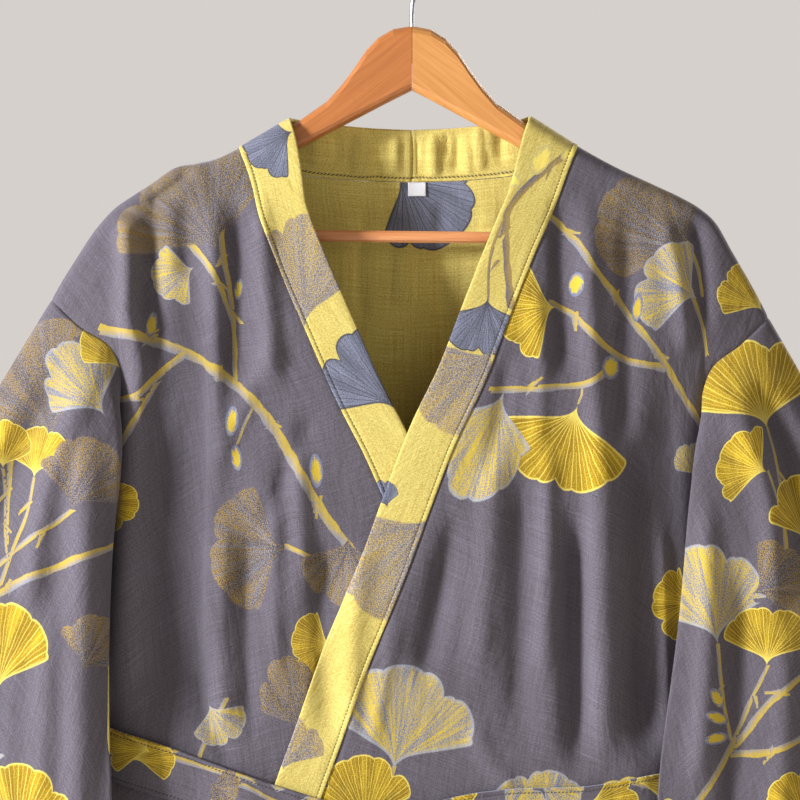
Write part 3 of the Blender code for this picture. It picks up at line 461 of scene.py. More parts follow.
def sleeve_sheet(side, share, turn):
    """Points of a sleeve: share 0 at the armhole and 1 at the cuff, turn round the tube."""
    share, turn = np.broadcast_arrays(np.asarray(share, float), np.asarray(turn, float))
    rings = SLEEVE_LEFT if side < 0 else SLEEVE_RIGHT
    at = [ring.along for ring in rings]
    numbers = np.array([
        np.concatenate([np.ravel(ring[1:5]), ring[5:]]) for ring in rings
    ])
    found = np.empty(share.shape + (3,))
    for value in np.unique(share):
        row = through(at, numbers, np.array(value))
        ring = Ring(value, row[0:3], row[3:6], row[6:9], row[9:12], *row[12:])
        here = share == value
        found[here] = sleeve_ring(ring, turn[here])
    start = armhole_loop(side, turn) - sleeve_ring(rings[0], turn)
    return found + start * (1 - eased(share / RING_BLEND))[..., None]


def band_sheet(side, row, across):
    """Points of a neckband half. row -1 is centre back, 0 the shoulder, then as on a front."""
    row, across = np.broadcast_arrays(np.asarray(row, float), np.asarray(across, float))
    table = NECK_SEAM_LEFT if side < 0 else NECK_SEAM_RIGHT
    corner = np.array(table[0], float)
    free_corner = np.array(FREE_EDGE_LEFT if side < 0 else FREE_EDGE_RIGHT, float)

    behind = np.clip(1 + row, 0, 1)
    seam_back = back_neck_seam(0.5 + side * behind / 2)
    free_z = np.append(column(BACK_NECK, 2), free_corner[1])
    free_back = np.stack([
        behind * free_corner[0],
        through(np.append(column(BACK_NECK, 0), 1.0), free_z, behind),
    ], -1)

    ahead = np.clip(row, 0, 2)
    seam = neck_seam(side, ahead)
    after = neck_seam(side, np.clip(ahead + BAND_STEP, 0, 2))
    before = neck_seam(side, np.clip(ahead - BAND_STEP, 0, 2))
    run = after - before
    run = run / np.linalg.norm(run, axis=-1, keepdims=True)
    free = seam + BAND_WIDTH * side * np.stack([run[..., 1], -run[..., 0]], -1)
    start = eased(1 - ahead / BAND_START)[..., None]
    free = free * (1 - start) + (seam + free_corner - corner) * start

    seam = np.where((row < 0)[..., None], seam_back, seam)
    free = np.where((row < 0)[..., None], free_back, free)
    flat = seam + (free - seam) * across[..., None]
    x, z = flat[..., 0], flat[..., 1]
    y = np.where(row < 0, depth(x, z, False), -depth(x, z, True))
    if side > 0:
        y = np.where(row > 0, y - overlap_lift(x, z), y)
    return np.stack([x, y, z], -1)


def belt_sheet(turn, rise):
    """Points of the belt round the body: turn 0 to 0.5 in front, left to right, then behind."""
    turn, rise = np.broadcast_arrays(np.asarray(turn, float), np.asarray(rise, float))
    front = turn <= 0.5
    share = np.where(front, turn * 2, 2 - turn * 2)
    sweep = np.clip(np.minimum(share, 1 - share) / BELT_CORNER, 0, 1) * math.pi / 2
    side = np.where(share < 0.5, -1.0, 1.0)
    line = np.array(BELT_FRONT, float)
    left_z, right_z = line[0, 1], line[-1, 1]
    left = by_height(SIDE_LEFT, np.array(left_z)) + BELT_CLEAR - SIDE_ROUND
    right = by_height(SIDE_RIGHT, np.array(right_z)) + BELT_CLEAR - SIDE_ROUND
    across = np.clip((share - BELT_CORNER) / (1 - 2 * BELT_CORNER), 0, 1)
    bent = (share < BELT_CORNER) | (share > 1 - BELT_CORNER)
    corner = side * (np.where(side < 0, left, right) + SIDE_ROUND * np.cos(sweep))
    x = np.where(bent, corner, across * (left + right) - left)
    middle = through(line[:, 0], line[:, 1], x)
    level = left_z + (right_z - left_z) * (x - line[0, 0]) / (line[-1, 0] - line[0, 0])
    z = np.where(front, middle, level) + rise * BELT_WIDTH
    inner_x = np.clip(x, BELT_CLEAR - left, right - BELT_CLEAR)
    over_bands = eased((x - BELT_RISE_X) / BELT_RISE_RUN) * eased((BELT_FALL_X - x) / BELT_FALL_RUN)
    lift = np.maximum(overlap_lift(x, z) * (x > BAND_OUTER_X), OVERLAP_LIFT * over_bands)
    flat_depth = np.where(front, depth(inner_x, z, True) + lift, depth(inner_x, z, False))
    shrink = np.where(bent, np.sin(sweep), 1.0)
    y = (flat_depth + BELT_CLEAR) * shrink * np.where(front, -1, 1)
    return np.stack([x, y, z], -1)


def end_sheet(points, share, across, clear):
    """Points of a hanging belt end, clear of the front below it."""
    share, across = np.broadcast_arrays(np.asarray(share, float), np.asarray(across, float))
    flat = along(points, share)
    middle, z = flat[..., 0], flat[..., 1]
    x = middle + (across - 0.5) * BELT_WIDTH
    lift = END_LIFT * (1 - eased(share / END_LIFT_SHARE))
    y = -depth(middle, z, True) - OVERLAP_LIFT - clear - lift
    return np.stack([x, y, z], -1)


def normals_of(points, closed):
    """Unit normals of a grid of points, from its own rows and columns."""
    padded = np.concatenate([points[:, -2:-1], points, points[:, 1:2]], 1) if closed else points
    down = np.gradient(padded, axis=0)
    across = np.gradient(padded, axis=1)
    if closed:
        down, across = down[:, 1:-1], across[:, 1:-1]
    normal = np.cross(down, across)
    return normal / np.maximum(np.linalg.norm(normal, axis=-1, keepdims=True), 1e-9)


# Seams, hems and how finely each piece is made
STITCH_IN = 3.0
HEM_DEPTH = 20.0
CUFF_DEPTH = 16.0
EASE_LENGTH, EASE_WIDTH = 0.12, 0.045
ROWS_ABOVE, ROWS_BELOW = 96, 150
FRONT_COLUMNS_FINE = 104
BACK_COLUMNS_FINE = 48
NECK_COLUMNS_FINE = 90
SLEEVE_ROWS_FINE = 130
SLEEVE_COLUMNS_FINE = 230
BELT_COLUMNS_FINE = 420
END_ROWS_FINE = 150

# The belt ends below the knot: the share of their length that is gathered, how far they are
# tucked up, and the shares by which they are moved under the knot and made narrower
END_GATHER, END_TUCK = 0.11, 2.2
END_SHIFT, END_PINCH = 0.3, 0.36

# The floor and the camera
FLOOR_Z, FLOOR_RADIUS = -1262.0, 6400.0
CAMERA_DISTANCE = 3200.0
SENSOR_WIDTH = 36.0
VIEW_WIDTH = 592.0
VIEW_X, VIEW_Z = -8.9, -346.8

# Leaves are drawn by formula from their base point, with the way they point in degrees clockwise
# from up, their length, their width as a share of a full fan, their kind and a number that makes
# each one different. Twigs are lines through points, with the half width at each end.
GOLD, STRIPED, STIPPLED, BUD = 1, 2, 3, 5
Leaf = namedtuple("Leaf", "x z turn size width kind seed")
Twig = namedtuple("Twig", "points start end")

LEAVES_FRONT_LEFT = (
    Leaf(-140.6, -241.7, -28, 82.9, 1.0, STIPPLED, 0.13),
    Leaf(-158.4, -248.3, -112, 35.5, 0.85, STRIPED, 0.52),
    Leaf(-88.8, -455.5, -92, 59.2, 1.0, STIPPLED, 0.31),
    Leaf(-45.9, -444.4, -172, 53.3, 0.8, STIPPLED, 0.62),
    Leaf(-57.7, -525.8, -88, 31.1, 1.05, GOLD, 0.45),
    Leaf(-80.7, -594.7, -14, 62.2, 0.5, STIPPLED, 0.84),
    Leaf(-226.4, -422.2, 98, 26.6, 1.0, GOLD, 0.22),
    Leaf(-127.3, -398.6, -8, 19.2, 0.42, BUD, 0.1),
    Leaf(-133.2, -373.4, 6, 22.2, 0.42, BUD, 0.6),
    Leaf(-69.6, -411.1, -4, 25.2, 0.4, BUD, 0.3),
    Leaf(-128.8, -272.8, 8, 16.3, 0.4, BUD, 0.7),
    Leaf(-193.9, -300.9, 10, 19.2, 0.4, BUD, 0.2),
    Leaf(-149.5, -568.8, 150, 34.0, 0.8, STRIPED, 0.7),
)
LEAVES_FRONT_RIGHT = (
    Leaf(259.0, -283.0, -38, 42.0, 0.75, GOLD, 0.41),
    Leaf(208.7, -244.6, -48, 82.9, 0.8, STIPPLED, 0.27),
    Leaf(211.6, -272.8, -66, 48.8, 0.95, STRIPED, 0.71),
    Leaf(107.3, -277.9, -97, 45.9, 1.05, GOLD, 0.16),
    Leaf(122.1, -348.2, -160, 68.1, 0.92, GOLD, 0.36),
    Leaf(69.6, -334.9, -158, 91.8, 0.5, STRIPED, 0.58),
    Leaf(208.7, -496.2, -88, 32.6, 1.1, GOLD, 0.81),
    Leaf(-14.8, -622.0, 12, 82.9, 0.85, STRIPED, 0.24),
    Leaf(-34.0, -662.0, -2, 56.2, 0.8, GOLD, 0.9),
    Leaf(93.2, -673.8, 0, 57.7, 0.85, STRIPED, 0.4),
    Leaf(121.4, -253.5, -176, 17.8, 0.6, BUD, 0.5),
    Leaf(164.3, -289.0, 8, 20.7, 0.35, BUD, 0.3),
    Leaf(144.3, -332.0, 4, 17.8, 0.75, BUD, 0.8),
    Leaf(210.2, -406.0, -18, 29.6, 0.6, STRIPED, 0.33),
)
LEAVES_SLEEVE_LEFT = (
    Leaf(-259.0, -380.8, -22, 94.7, 0.95, STIPPLED, 0.48),
    Leaf(-222.0, -361.6, -38, 68.1, 0.55, STRIPED, 0.12),
    Leaf(-213.1, -327.5, -26, 45.9, 0.62, GOLD, 0.66),
    Leaf(-275.3, -406.0, 6, 41.4, 0.8, GOLD, 0.29),
    Leaf(-300.4, -398.6, 4, 37.0, 0.7, GOLD, 0.74),
    Leaf(-250.1, -429.6, 24, 57.7, 0.75, STIPPLED, 0.55),
    Leaf(-303.4, -564.3, 2, 72.5, 0.72, GOLD, 0.38),
    Leaf(-287.1, -676.8, 0, 66.6, 0.8, GOLD, 0.19),
    Leaf(-349.3, -465.2, -20, 66.6, 0.9, STIPPLED, 0.6),
    Leaf(-334.5, -642.8, -12, 71.0, 0.9, STRIPED, 0.8),
    Leaf(-241.2, -545.1, 30, 44.4, 0.8, STIPPLED, 0.9),
    Leaf(-253.1, -761.2, -12, 68.1, 0.8, STIPPLED, 0.3),
    Leaf(-233.8, -635.4, -170, 38.5, 0.8, STRIPED, 0.35),
    Leaf(-386.3, -613.2, 10, 51.8, 0.8, GOLD, 0.14),
)
LEAVES_SLEEVE_RIGHT = (
    Leaf(262.0, -275.0, -32, 38.5, 0.75, GOLD, 0.41),
    Leaf(262.0, -371.2, -14, 71.0, 0.95, GOLD, 0.63),
    Leaf(258.3, -400.8, -66, 37.0, 1.05, GOLD, 0.17),
    Leaf(291.6, -454.8, -10, 54.8, 0.7, GOLD, 0.88),
    Leaf(222.0, -528.8, -8, 78.4, 0.68, STRIPED, 0.26),
    Leaf(245.7, -488.8, 66, 48.8, 0.85, STIPPLED, 0.5),
    Leaf(257.5, -542.1, 4, 45.9, 0.95, GOLD, 0.34),
    Leaf(284.2, -651.6, -6, 37.0, 0.9, GOLD, 0.7),
    Leaf(225.0, -570.2, -30, 16.3, 0.5, BUD, 0.2),
    Leaf(229.4, -580.6, -70, 17.8, 0.5, BUD, 0.4),
    Leaf(229.4, -591.0, -100, 17.8, 0.5, BUD, 0.9),
    Leaf(324.1, -524.4, 20, 71.0, 0.9, STIPPLED, 0.1),
    Leaf(346.3, -642.8, -8, 68.1, 0.9, STRIPED, 0.6),
    Leaf(213.1, -716.8, 10, 74.0, 0.8, STIPPLED, 0.75),
    Leaf(301.9, -739.0, -20, 66.6, 0.8, GOLD, 0.53),
)
LEAVES_BANDS = (
    Leaf(-85.8, -148.4, -112, 41.4, 0.95, GOLD, 0.15),
    Leaf(-78.4, -300.9, -4, 91.8, 0.52, STIPPLED, 0.42),
    Leaf(-10.4, -357.1, -36, 71.0, 0.68, GOLD, 0.77),
    Leaf(55.5, -269.8, 186, 45.9, 0.95, GOLD, 0.33),
    Leaf(63.6, -306.8, -138, 77.0, 0.68, STIPPLED, 0.57),
    Leaf(17.8, -426.7, -146, 91.8, 0.8, STIPPLED, 0.21),
    Leaf(-17.8, -426.7, -12, 22.2, 0.6, GOLD, 0.65),
    Leaf(88.8, -181.0, 30, 25.2, 0.5, BUD, 0.5),
    Leaf(79.9, -189.9, -50, 20.7, 0.5, BUD, 0.25),
    Leaf(109.5, -169.2, 60, 20.7, 0.45, BUD, 0.4),
    Leaf(-94.7, -620.6, 10, 44.4, 0.8, STIPPLED, 0.6),
    Leaf(-106.6, -776.0, 20, 68.1, 0.7, GOLD, 0.3),
    Leaf(-115.4, -924.0, -160, 71.0, 0.7, STIPPLED, 0.9),
    Leaf(-105.1, -1101.6, 4, 66.6, 0.6, GOLD, 0.7),
    Leaf(42.9, -864.8, 8, 66.6, 0.7, STIPPLED, 0.2),
)
LEAVES_BACK = (
    Leaf(-14.8, -175.1, 133, 71.0, 0.8, GOLD, 0.52),
    Leaf(-119.9, -235.8, -30, 71.0, 0.9, STIPPLED, 0.2),
    Leaf(139.1, -272.8, 40, 68.1, 0.9, STRIPED, 0.4),
    Leaf(-68.1, -406.0, 150, 62.2, 0.9, GOLD, 0.6),
    Leaf(65.1, -465.2, -20, 77.0, 0.85, STIPPLED, 0.8),
    Leaf(-179.1, -361.6, 20, 56.2, 0.9, GOLD, 0.3),
    Leaf(205.7, -398.6, -140, 62.2, 0.9, GOLD, 0.1),
    Leaf(-134.7, -524.4, 80, 59.2, 0.9, STRIPED, 0.9),
    Leaf(168.7, -524.4, -60, 51.8, 1.0, GOLD, 0.7),
    Leaf(5.9, -583.6, 10, 66.6, 0.9, GOLD, 0.15),
    Leaf(109.5, -361.6, 170, 47.4, 0.9, STIPPLED, 0.35),
    Leaf(-142.1, -716.8, -20, 81.4, 0.9, STIPPLED, 0.55),
    Leaf(-8.9, -761.2, 30, 68.1, 0.9, GOLD, 0.75),
    Leaf(139.1, -716.8, -150, 74.0, 0.9, STRIPED, 0.95),
    Leaf(198.3, -835.2, 10, 71.0, 0.9, GOLD, 0.25),
    Leaf(-82.9, -879.6, 160, 62.2, 0.9, GOLD, 0.45),
    Leaf(50.3, -909.2, -30, 82.9, 0.9, STIPPLED, 0.65),
    Leaf(-186.5, -968.4, 30, 68.1, 0.9, STRIPED, 0.85),
    Leaf(153.9, -1027.6, -20, 66.6, 0.9, GOLD, 0.05),
    Leaf(-38.5, -1086.8, 20, 74.0, 0.9, STRIPED, 0.5),
    Leaf(-142.1, -1175.6, -10, 66.6, 0.9, GOLD, 0.3),
    Leaf(79.9, -1160.8, 150, 71.0, 0.9, STIPPLED, 0.1),
    Leaf(227.9, -1131.2, -30, 66.6, 0.9, STRIPED, 0.6),
)
LEAVES_SKIRT = (
    Leaf(-179.1, -731.6, 20, 74.0, 0.9, GOLD, 0.23),
    Leaf(-223.5, -879.6, -30, 77.0, 0.9, STIPPLED, 0.43),
    Leaf(-134.7, -850.0, 140, 56.2, 0.9, STRIPED, 0.63),
    Leaf(-171.7, -1012.8, 10, 68.1, 0.9, GOLD, 0.83),
    Leaf(-238.3, -1116.4, -20, 74.0, 0.9, STRIPED, 0.03),
    Leaf(-134.7, -1160.8, 24, 62.2, 0.9, STIPPLED, 0.33),
    Leaf(-23.7, -761.2, -160, 68.1, 0.9, GOLD, 0.53),
    Leaf(79.9, -731.6, 30, 77.0, 0.9, STIPPLED, 0.73),
    Leaf(168.7, -687.2, -20, 66.6, 0.9, GOLD, 0.93),
    Leaf(35.5, -879.6, -10, 74.0, 0.9, STRIPED, 0.13),
    Leaf(153.9, -850.0, 150, 66.6, 0.9, GOLD, 0.38),
    Leaf(227.9, -924.0, -24, 74.0, 0.9, STIPPLED, 0.58),
    Leaf(-8.9, -1012.8, 20, 77.0, 0.9, STIPPLED, 0.78),
    Leaf(109.5, -1012.8, -30, 68.1, 0.9, GOLD, 0.98),
    Leaf(198.3, -1086.8, 160, 62.2, 0.9, STRIPED, 0.18),
    Leaf(50.3, -1160.8, 8, 71.0, 0.9, GOLD, 0.48),
    Leaf(168.7, -1205.2, -14, 62.2, 0.9, STIPPLED, 0.68),
    Leaf(-53.3, -1190.4, 10, 62.2, 0.9, STRIPED, 0.28),
)
TWIGS_FRONT_LEFT = (
    Twig(((-219.0, -296.4), (-201.3, -300.1), (-179.1, -308.3), (-153.2, -319.4), (-127.3, -337.9),
          (-106.6, -360.1), (-88.8, -387.5), (-71.0, -420.8), (-48.8, -451.8)), 3.8, 3.4),
    Twig(((-222.0, -346.8), (-205.7, -345.3), (-193.9, -335.7),
          (-182.0, -323.1), (-168.7, -311.2)), 2.5, 2.4),
    Twig(((-208.7, -376.4), (-199.8, -354.2), (-188.0, -334.9)), 1.9, 1.6),
    Twig(((-140.6, -206.2), (-139.9, -235.8), (-134.7, -265.4),
          (-130.2, -302.4), (-129.5, -333.4)), 2.2, 1.6),
    Twig(((-164.3, -230.6), (-152.4, -244.6), (-140.6, -265.4), (-133.2, -286.1)), 2.7, 1.5),
    Twig(((-115.4, -349.7), (-122.8, -364.5), (-127.3, -376.4)), 1.2, 0.9),
    Twig(((-88.8, -455.5), (-74.0, -462.2), (-60.7, -466.6)), 1.8, 1.8),
    Twig(((-137.6, -568.8), (-152.4, -598.4), (-159.8, -620.6)), 1.6, 1.6),
)
TWIGS_FRONT_RIGHT = (
    Twig(((94.7, -207.6), (109.5, -218.0), (119.9, -229.8), (131.7, -249.1),
        (145.0, -265.4), (159.1, -284.6),
          (174.6, -305.3), (188.0, -324.6), (199.8, -345.3), (211.6, -364.5)), 2.5, 2.5),
    Twig(((106.6, -277.2), (116.9, -283.1), (125.8, -293.5), (139.1, -306.1),
          (156.9, -317.2), (183.5, -323.1)), 2.2, 2.8),
    Twig(((63.6, -339.4), (87.3, -338.6), (109.5, -337.1), (128.0, -334.9),
          (137.6, -329.0), (143.6, -321.6)), 2.4, 2.4),
    Twig(((122.1, -348.2), (124.3, -342.3), (124.3, -336.4)), 0.9, 0.7),
    Twig(((205.7, -271.3), (212.4, -289.0), (216.1, -309.8)), 1.9, 1.3),
    Twig(((-14.8, -620.6), (-20.7, -642.8), (-29.6, -679.8)), 1.8, 1.8),
    Twig(((204.2, -235.8), (210.2, -249.1), (213.1, -265.4)), 1.9, 1.5),
)
TWIGS_SLEEVE_LEFT = (
    Twig(((-319.7, -499.2), (-297.5, -485.9), (-267.9, -472.6),
          (-242.7, -462.9), (-214.6, -452.6)), 3.1, 2.5),
    Twig(((-275.3, -406.0), (-279.7, -428.2), (-290.1, -454.1), (-304.9, -494.8)), 1.2, 1.8),
    Twig(((-250.1, -429.6), (-266.4, -441.5), (-288.6, -456.3), (-304.9, -469.6)), 1.8, 1.9),
    Twig(((-294.5, -376.4), (-297.5, -413.4), (-296.0, -450.4)), 1.9, 1.6),
    Twig(((-300.4, -398.6), (-299.0, -435.6), (-294.5, -465.2)), 1.0, 1.0),
    Twig(((-287.1, -676.8), (-279.7, -702.0), (-260.5, -739.0)), 1.5, 1.5),
    Twig(((-349.3, -465.2), (-327.1, -487.4), (-315.2, -496.2)), 1.8, 1.8),
)
TWIGS_SLEEVE_RIGHT = (
    Twig(((262.0, -371.2), (265.7, -391.2), (269.4, -420.8), (271.6, -459.2)), 1.3, 1.8),
    Twig(((258.3, -400.8), (264.9, -420.8), (270.8, -443.0)), 0.9, 0.7),
    Twig(((257.5, -542.1), (248.6, -561.4), (236.8, -588.0), (222.0, -616.9),
        (204.2, -642.8)), 1.2, 2.7),
    Twig(((296.0, -539.2), (276.0, -552.5), (257.5, -568.8), (241.2, -591.0),
        (230.9, -602.1)), 2.2, 2.7),
    Twig(((296.0, -585.0), (276.8, -595.4), (257.5, -602.8), (233.8, -604.3)), 2.2, 2.7),
    Twig(((222.0, -528.8), (225.0, -561.4), (230.9, -591.0)), 1.5, 1.3),
    Twig(((291.6, -454.8), (296.0, -494.8), (294.5, -539.2)), 1.2, 1.8),
    Twig(((204.2, -642.8), (186.5, -679.8), (168.7, -716.8)), 2.7, 2.7),
)
TWIGS_BANDS = (
    Twig(((121.4, -158.8), (103.6, -173.6), (82.9, -191.4), (70.3, -209.1),
          (68.8, -235.8), (71.8, -272.8)), 2.2, 2.7),
    Twig(((55.5, -269.8), (57.0, -244.6), (63.6, -222.4), (69.6, -210.6)), 1.0, 1.2),
)
TWIGS_BACK = (
    Twig(((-14.8, -175.1), (-20.7, -161.8), (-23.7, -139.6)), 1.2, 1.5),
    Twig(((-216.1, -435.6), (-142.1, -435.6), (-60.7, -465.2), (13.3, -502.2),
        (79.9, -539.2)), 3.0, 2.5),
    Twig(((-68.1, -406.0), (-60.7, -435.6), (-53.3, -466.6)), 1.3, 1.8),
    Twig(((139.1, -272.8), (109.5, -309.8), (94.7, -346.8), (79.9, -398.6),
        (68.8, -465.2)), 1.9, 2.2),
    Twig(((205.7, -398.6), (183.5, -435.6), (139.1, -487.4), (79.9, -539.2)), 1.8, 2.4),
    Twig(((-230.9, -790.8), (-156.9, -798.2), (-82.9, -820.4), (-8.9, -835.2),
        (79.9, -887.0)), 3.0, 2.5),
    Twig(((198.3, -835.2), (153.9, -857.4), (109.5, -879.6), (79.9, -887.0)), 1.5, 2.2),
    Twig(((-8.9, -761.2), (-16.3, -798.2), (-11.8, -833.7)), 1.3, 1.8),
    Twig(((-142.1, -1042.4), (-53.3, -1035.0), (35.5, -1057.2),
          (139.1, -1101.6), (242.7, -1116.4)), 3.0, 2.4),
)
TWIGS_SKIRT = (
    Twig(((-230.9, -776.0), (-179.1, -761.2), (-134.7, -716.8), (-112.5, -687.2)), 2.7, 2.2),
    Twig(((-260.5, -968.4), (-193.9, -946.2), (-134.7, -924.0), (-90.3, -901.8)), 2.7, 2.2),
    Twig(((35.5, -879.6), (94.7, -820.4), (139.1, -761.2), (168.7, -687.2)), 2.5, 1.9),
    Twig(((-8.9, -1012.8), (65.1, -975.8), (153.9, -961.0), (227.9, -968.4),
        (287.1, -953.6)), 2.8, 2.4),
    Twig(((5.9, -1146.0), (79.9, -1101.6), (168.7, -1116.4), (257.5, -1086.8)), 2.5, 2.2),
    Twig(((-230.9, -1205.2), (-179.1, -1146.0), (-134.7, -1101.6)), 2.2, 1.9),
)
LEAVES_BELT = (
    Leaf(-206, -612, 60, 34, 0.9, GOLD, 0.31),
    Leaf(-150, -628, 110, 24, 1.0, STIPPLED, 0.62),
    Leaf(-92, -640, 130, 30, 1.0, STRIPED, 0.12),
    Leaf(62, -654, 70, 40, 1.0, STRIPED, 0.44),
    Leaf(126, -640, 100, 40, 0.9, GOLD, 0.83),
    Leaf(180, -650, 60, 34, 1.0, STIPPLED, 0.25),
    Leaf(-190, -606, -60, 36, 0.9, GOLD, 0.51),
    Leaf(-120, -612, 80, 40, 0.8, STRIPED, 0.71),
    Leaf(-60, -618, 120, 36, 0.9, STIPPLED, 0.07),
    Leaf(10, -622, 75, 42, 0.9, GOLD, 0.37),
    Leaf(90, -626, 100, 36, 1.0, STRIPED, 0.93),
    Leaf(160, -628, 60, 40, 0.9, GOLD, 0.19),
)
TWIGS_BELT = (
    Twig(((-150, -646), (-134, -628), (-100, -640), (-60, -650)), 2.0, 1.2),
    Twig(((34, -640), (70, -652), (120, -644), (150, -656)), 2.0, 1.0),
    Twig(((-200, -600), (-120, -622), (-40, -612), (40, -630), (120, -620), (200, -636)), 2.0, 1.4),
)
LEAVES_END_LEFT = (
    Leaf(-60, -766, -80, 42, 0.9, STRIPED, 0.33),
    Leaf(-44, -858, -104, 34, 0.9, GOLD, 0.64),
    Leaf(-62, -960, 72, 38, 1.0, STIPPLED, 0.18),
    Leaf(-50, -1024, -84, 40, 0.9, GOLD, 0.87),
)
TWIGS_END_LEFT = (
    Twig(((-70, -716), (-62, -742), (-60, -770)), 1.8, 1.2),
    Twig(((-36, -800), (-48, -880), (-58, -962), (-50, -1026)), 2.0, 1.3),
)
LEAVES_END_RIGHT = (
    Leaf(-14, -800, -66, 40, 0.9, GOLD, 0.51),
    Leaf(6, -884, -112, 34, 1.0, STIPPLED, 0.29),
    Leaf(0, -946, -76, 42, 0.9, STRIPED, 0.92),
)
TWIGS_END_RIGHT = (
    Twig(((-24, -730), (-18, -764), (-14, -802)), 2.0, 1.3),
    Twig(((-10, -850), (6, -884), (4, -930), (0, -950)), 1.8, 1.2),
)
LEAVES_KNOT = (
    Leaf(-58, -684, 40, 34, 0.9, GOLD, 0.41),
    Leaf(-14, -650, 200, 24, 0.9, STIPPLED, 0.72),
)

# Soft creases: the line each follows as x, z, its half width and its height off the cloth.
Crease = namedtuple("Crease", "points width height")

CREASES_FRONT = (
    Crease(((-112, -190), (-109, -240), (-104, -300), (-100, -350)), 8, 5.5),
    Crease(((-130, -186), (-128, -240), (-127, -300), (-124, -352)), 8, -6.0),
    Crease(((-146, -190), (-146, -280), (-143, -350), (-139, -430)), 8, 5.7),
    Crease(((-162, -176), (-176, -187), (-197, -201)), 5, -4.4),
    Crease(((-168, -196), (-166, -230), (-164, -262)), 9, -5.2),
    Crease(((-212, -206), (-209, -250), (-210, -306)), 8, 7.6),
    Crease(((-190, -190), (-192, -250), (-188, -330)), 9, -7.6),
    Crease(((-207, -262), (-209, -420), (-210, -604)), 16, 11.0),
    Crease(((-162, -240), (-158, -360), (-160, -480), (-164, -620)), 24, -13.0),
    Crease(((-138, -420), (-142, -520), (-140, -604)), 9, 6.2),
    Crease(((-119, -430), (-121, -520), (-118, -604)), 7, -4.7),
    Crease(((-102, -396), (-101, -470), (-99, -560)), 6, 3.1),
    Crease(((-88, -360), (-82, -430), (-80, -500)), 8, 4.7),
    Crease(((-98, -300), (-118, -336), (-140, -392)), 8, 3.1),
    Crease(((-70, -350), (-92, -398), (-112, -450)), 7, -3.4),
    Crease(((-62, -440), (-66, -510), (-60, -600)), 9, -4.4),
    Crease(((-34, -440), (-44, -520), (-46, -606)), 8, 3.6),
    Crease(((-158, -540), (-150, -580), (-130, -620)), 6, -3.1),
    Crease(((-10, -500), (-22, -556), (-30, -606)), 6, 2.9),
    Crease(((109, -190), (110, -260), (112, -340)), 9, -6.0),
    Crease(((129, -190), (130, -280), (134, -360), (137, -440)), 9, 5.7),
    Crease(((158, -196), (158, -300), (154, -390)), 9, -5.5),
    Crease(((136, -400), (137, -500), (139, -620)), 9, 5.7),
    Crease(((118, -420), (119, -520), (122, -630)), 8, -5.7),
    Crease(((100, -370), (98, -460), (95, -560)), 7, 4.4),
    Crease(((80, -390), (79, -490), (75, -600)), 9, -4.7),
    Crease(((60, -360), (56, -450), (46, -560)), 11, 4.7),
    Crease(((32, -424), (20, -490), (6, -560)), 8, -5.5),
    Crease(((44, -580), (56, -610), (76, -634)), 8, 3.1),
    Crease(((166, -360), (167, -480), (170, -620)), 10, -5.5),
    Crease(((180, -420), (184, -520), (186, -620)), 6, 4.4),
    Crease(((181, -204), (194, -256), (201, -320)), 7, 4.7),
    Crease(((205, -204), (213, -240), (213, -300)), 6, -4.7),
    Crease(((86, -250), (94, -320), (90, -400)), 8, 3.4),
    Crease(((70, -310), (66, -350), (50, -410)), 7, -3.4),
    Crease(((-214, -684), (-224, -760), (-226, -880)), 9, -5.2),
    Crease(((-150, -690), (-155, -800), (-160, -960)), 8, 4.9),
    Crease(((-106, -684), (-108, -740), (-114, -820)), 7, -4.7),
    Crease(((-62, -690), (-64, -860), (-72, -1080)), 9, 4.7),
    Crease(((6, -684), (10, -760), (6, -900)), 8, -4.9),
    Crease(((48, -690), (54, -820), (50, -1010)), 8, 4.9),
    Crease(((94, -684), (98, -760), (108, -860)), 7, -4.9),
    Crease(((140, -690), (150, -830), (158, -1000)), 9, 4.7),
    Crease(((180, -684), (190, -770), (206, -900)), 8, -4.9),
    Crease(((214, -690), (226, -860), (240, -1060)), 9, 4.4),
    Crease(((-196, -940), (-206, -1060), (-208, -1240)), 12, -5.5),
    Crease(((-98, -960), (-104, -1080), (-104, -1236)), 11, 5.2),
    Crease(((70, -980), (72, -1100), (78, -1240)), 11, -5.5),
    Crease(((176, -1000), (186, -1100), (190, -1236)), 12, 5.2),
)
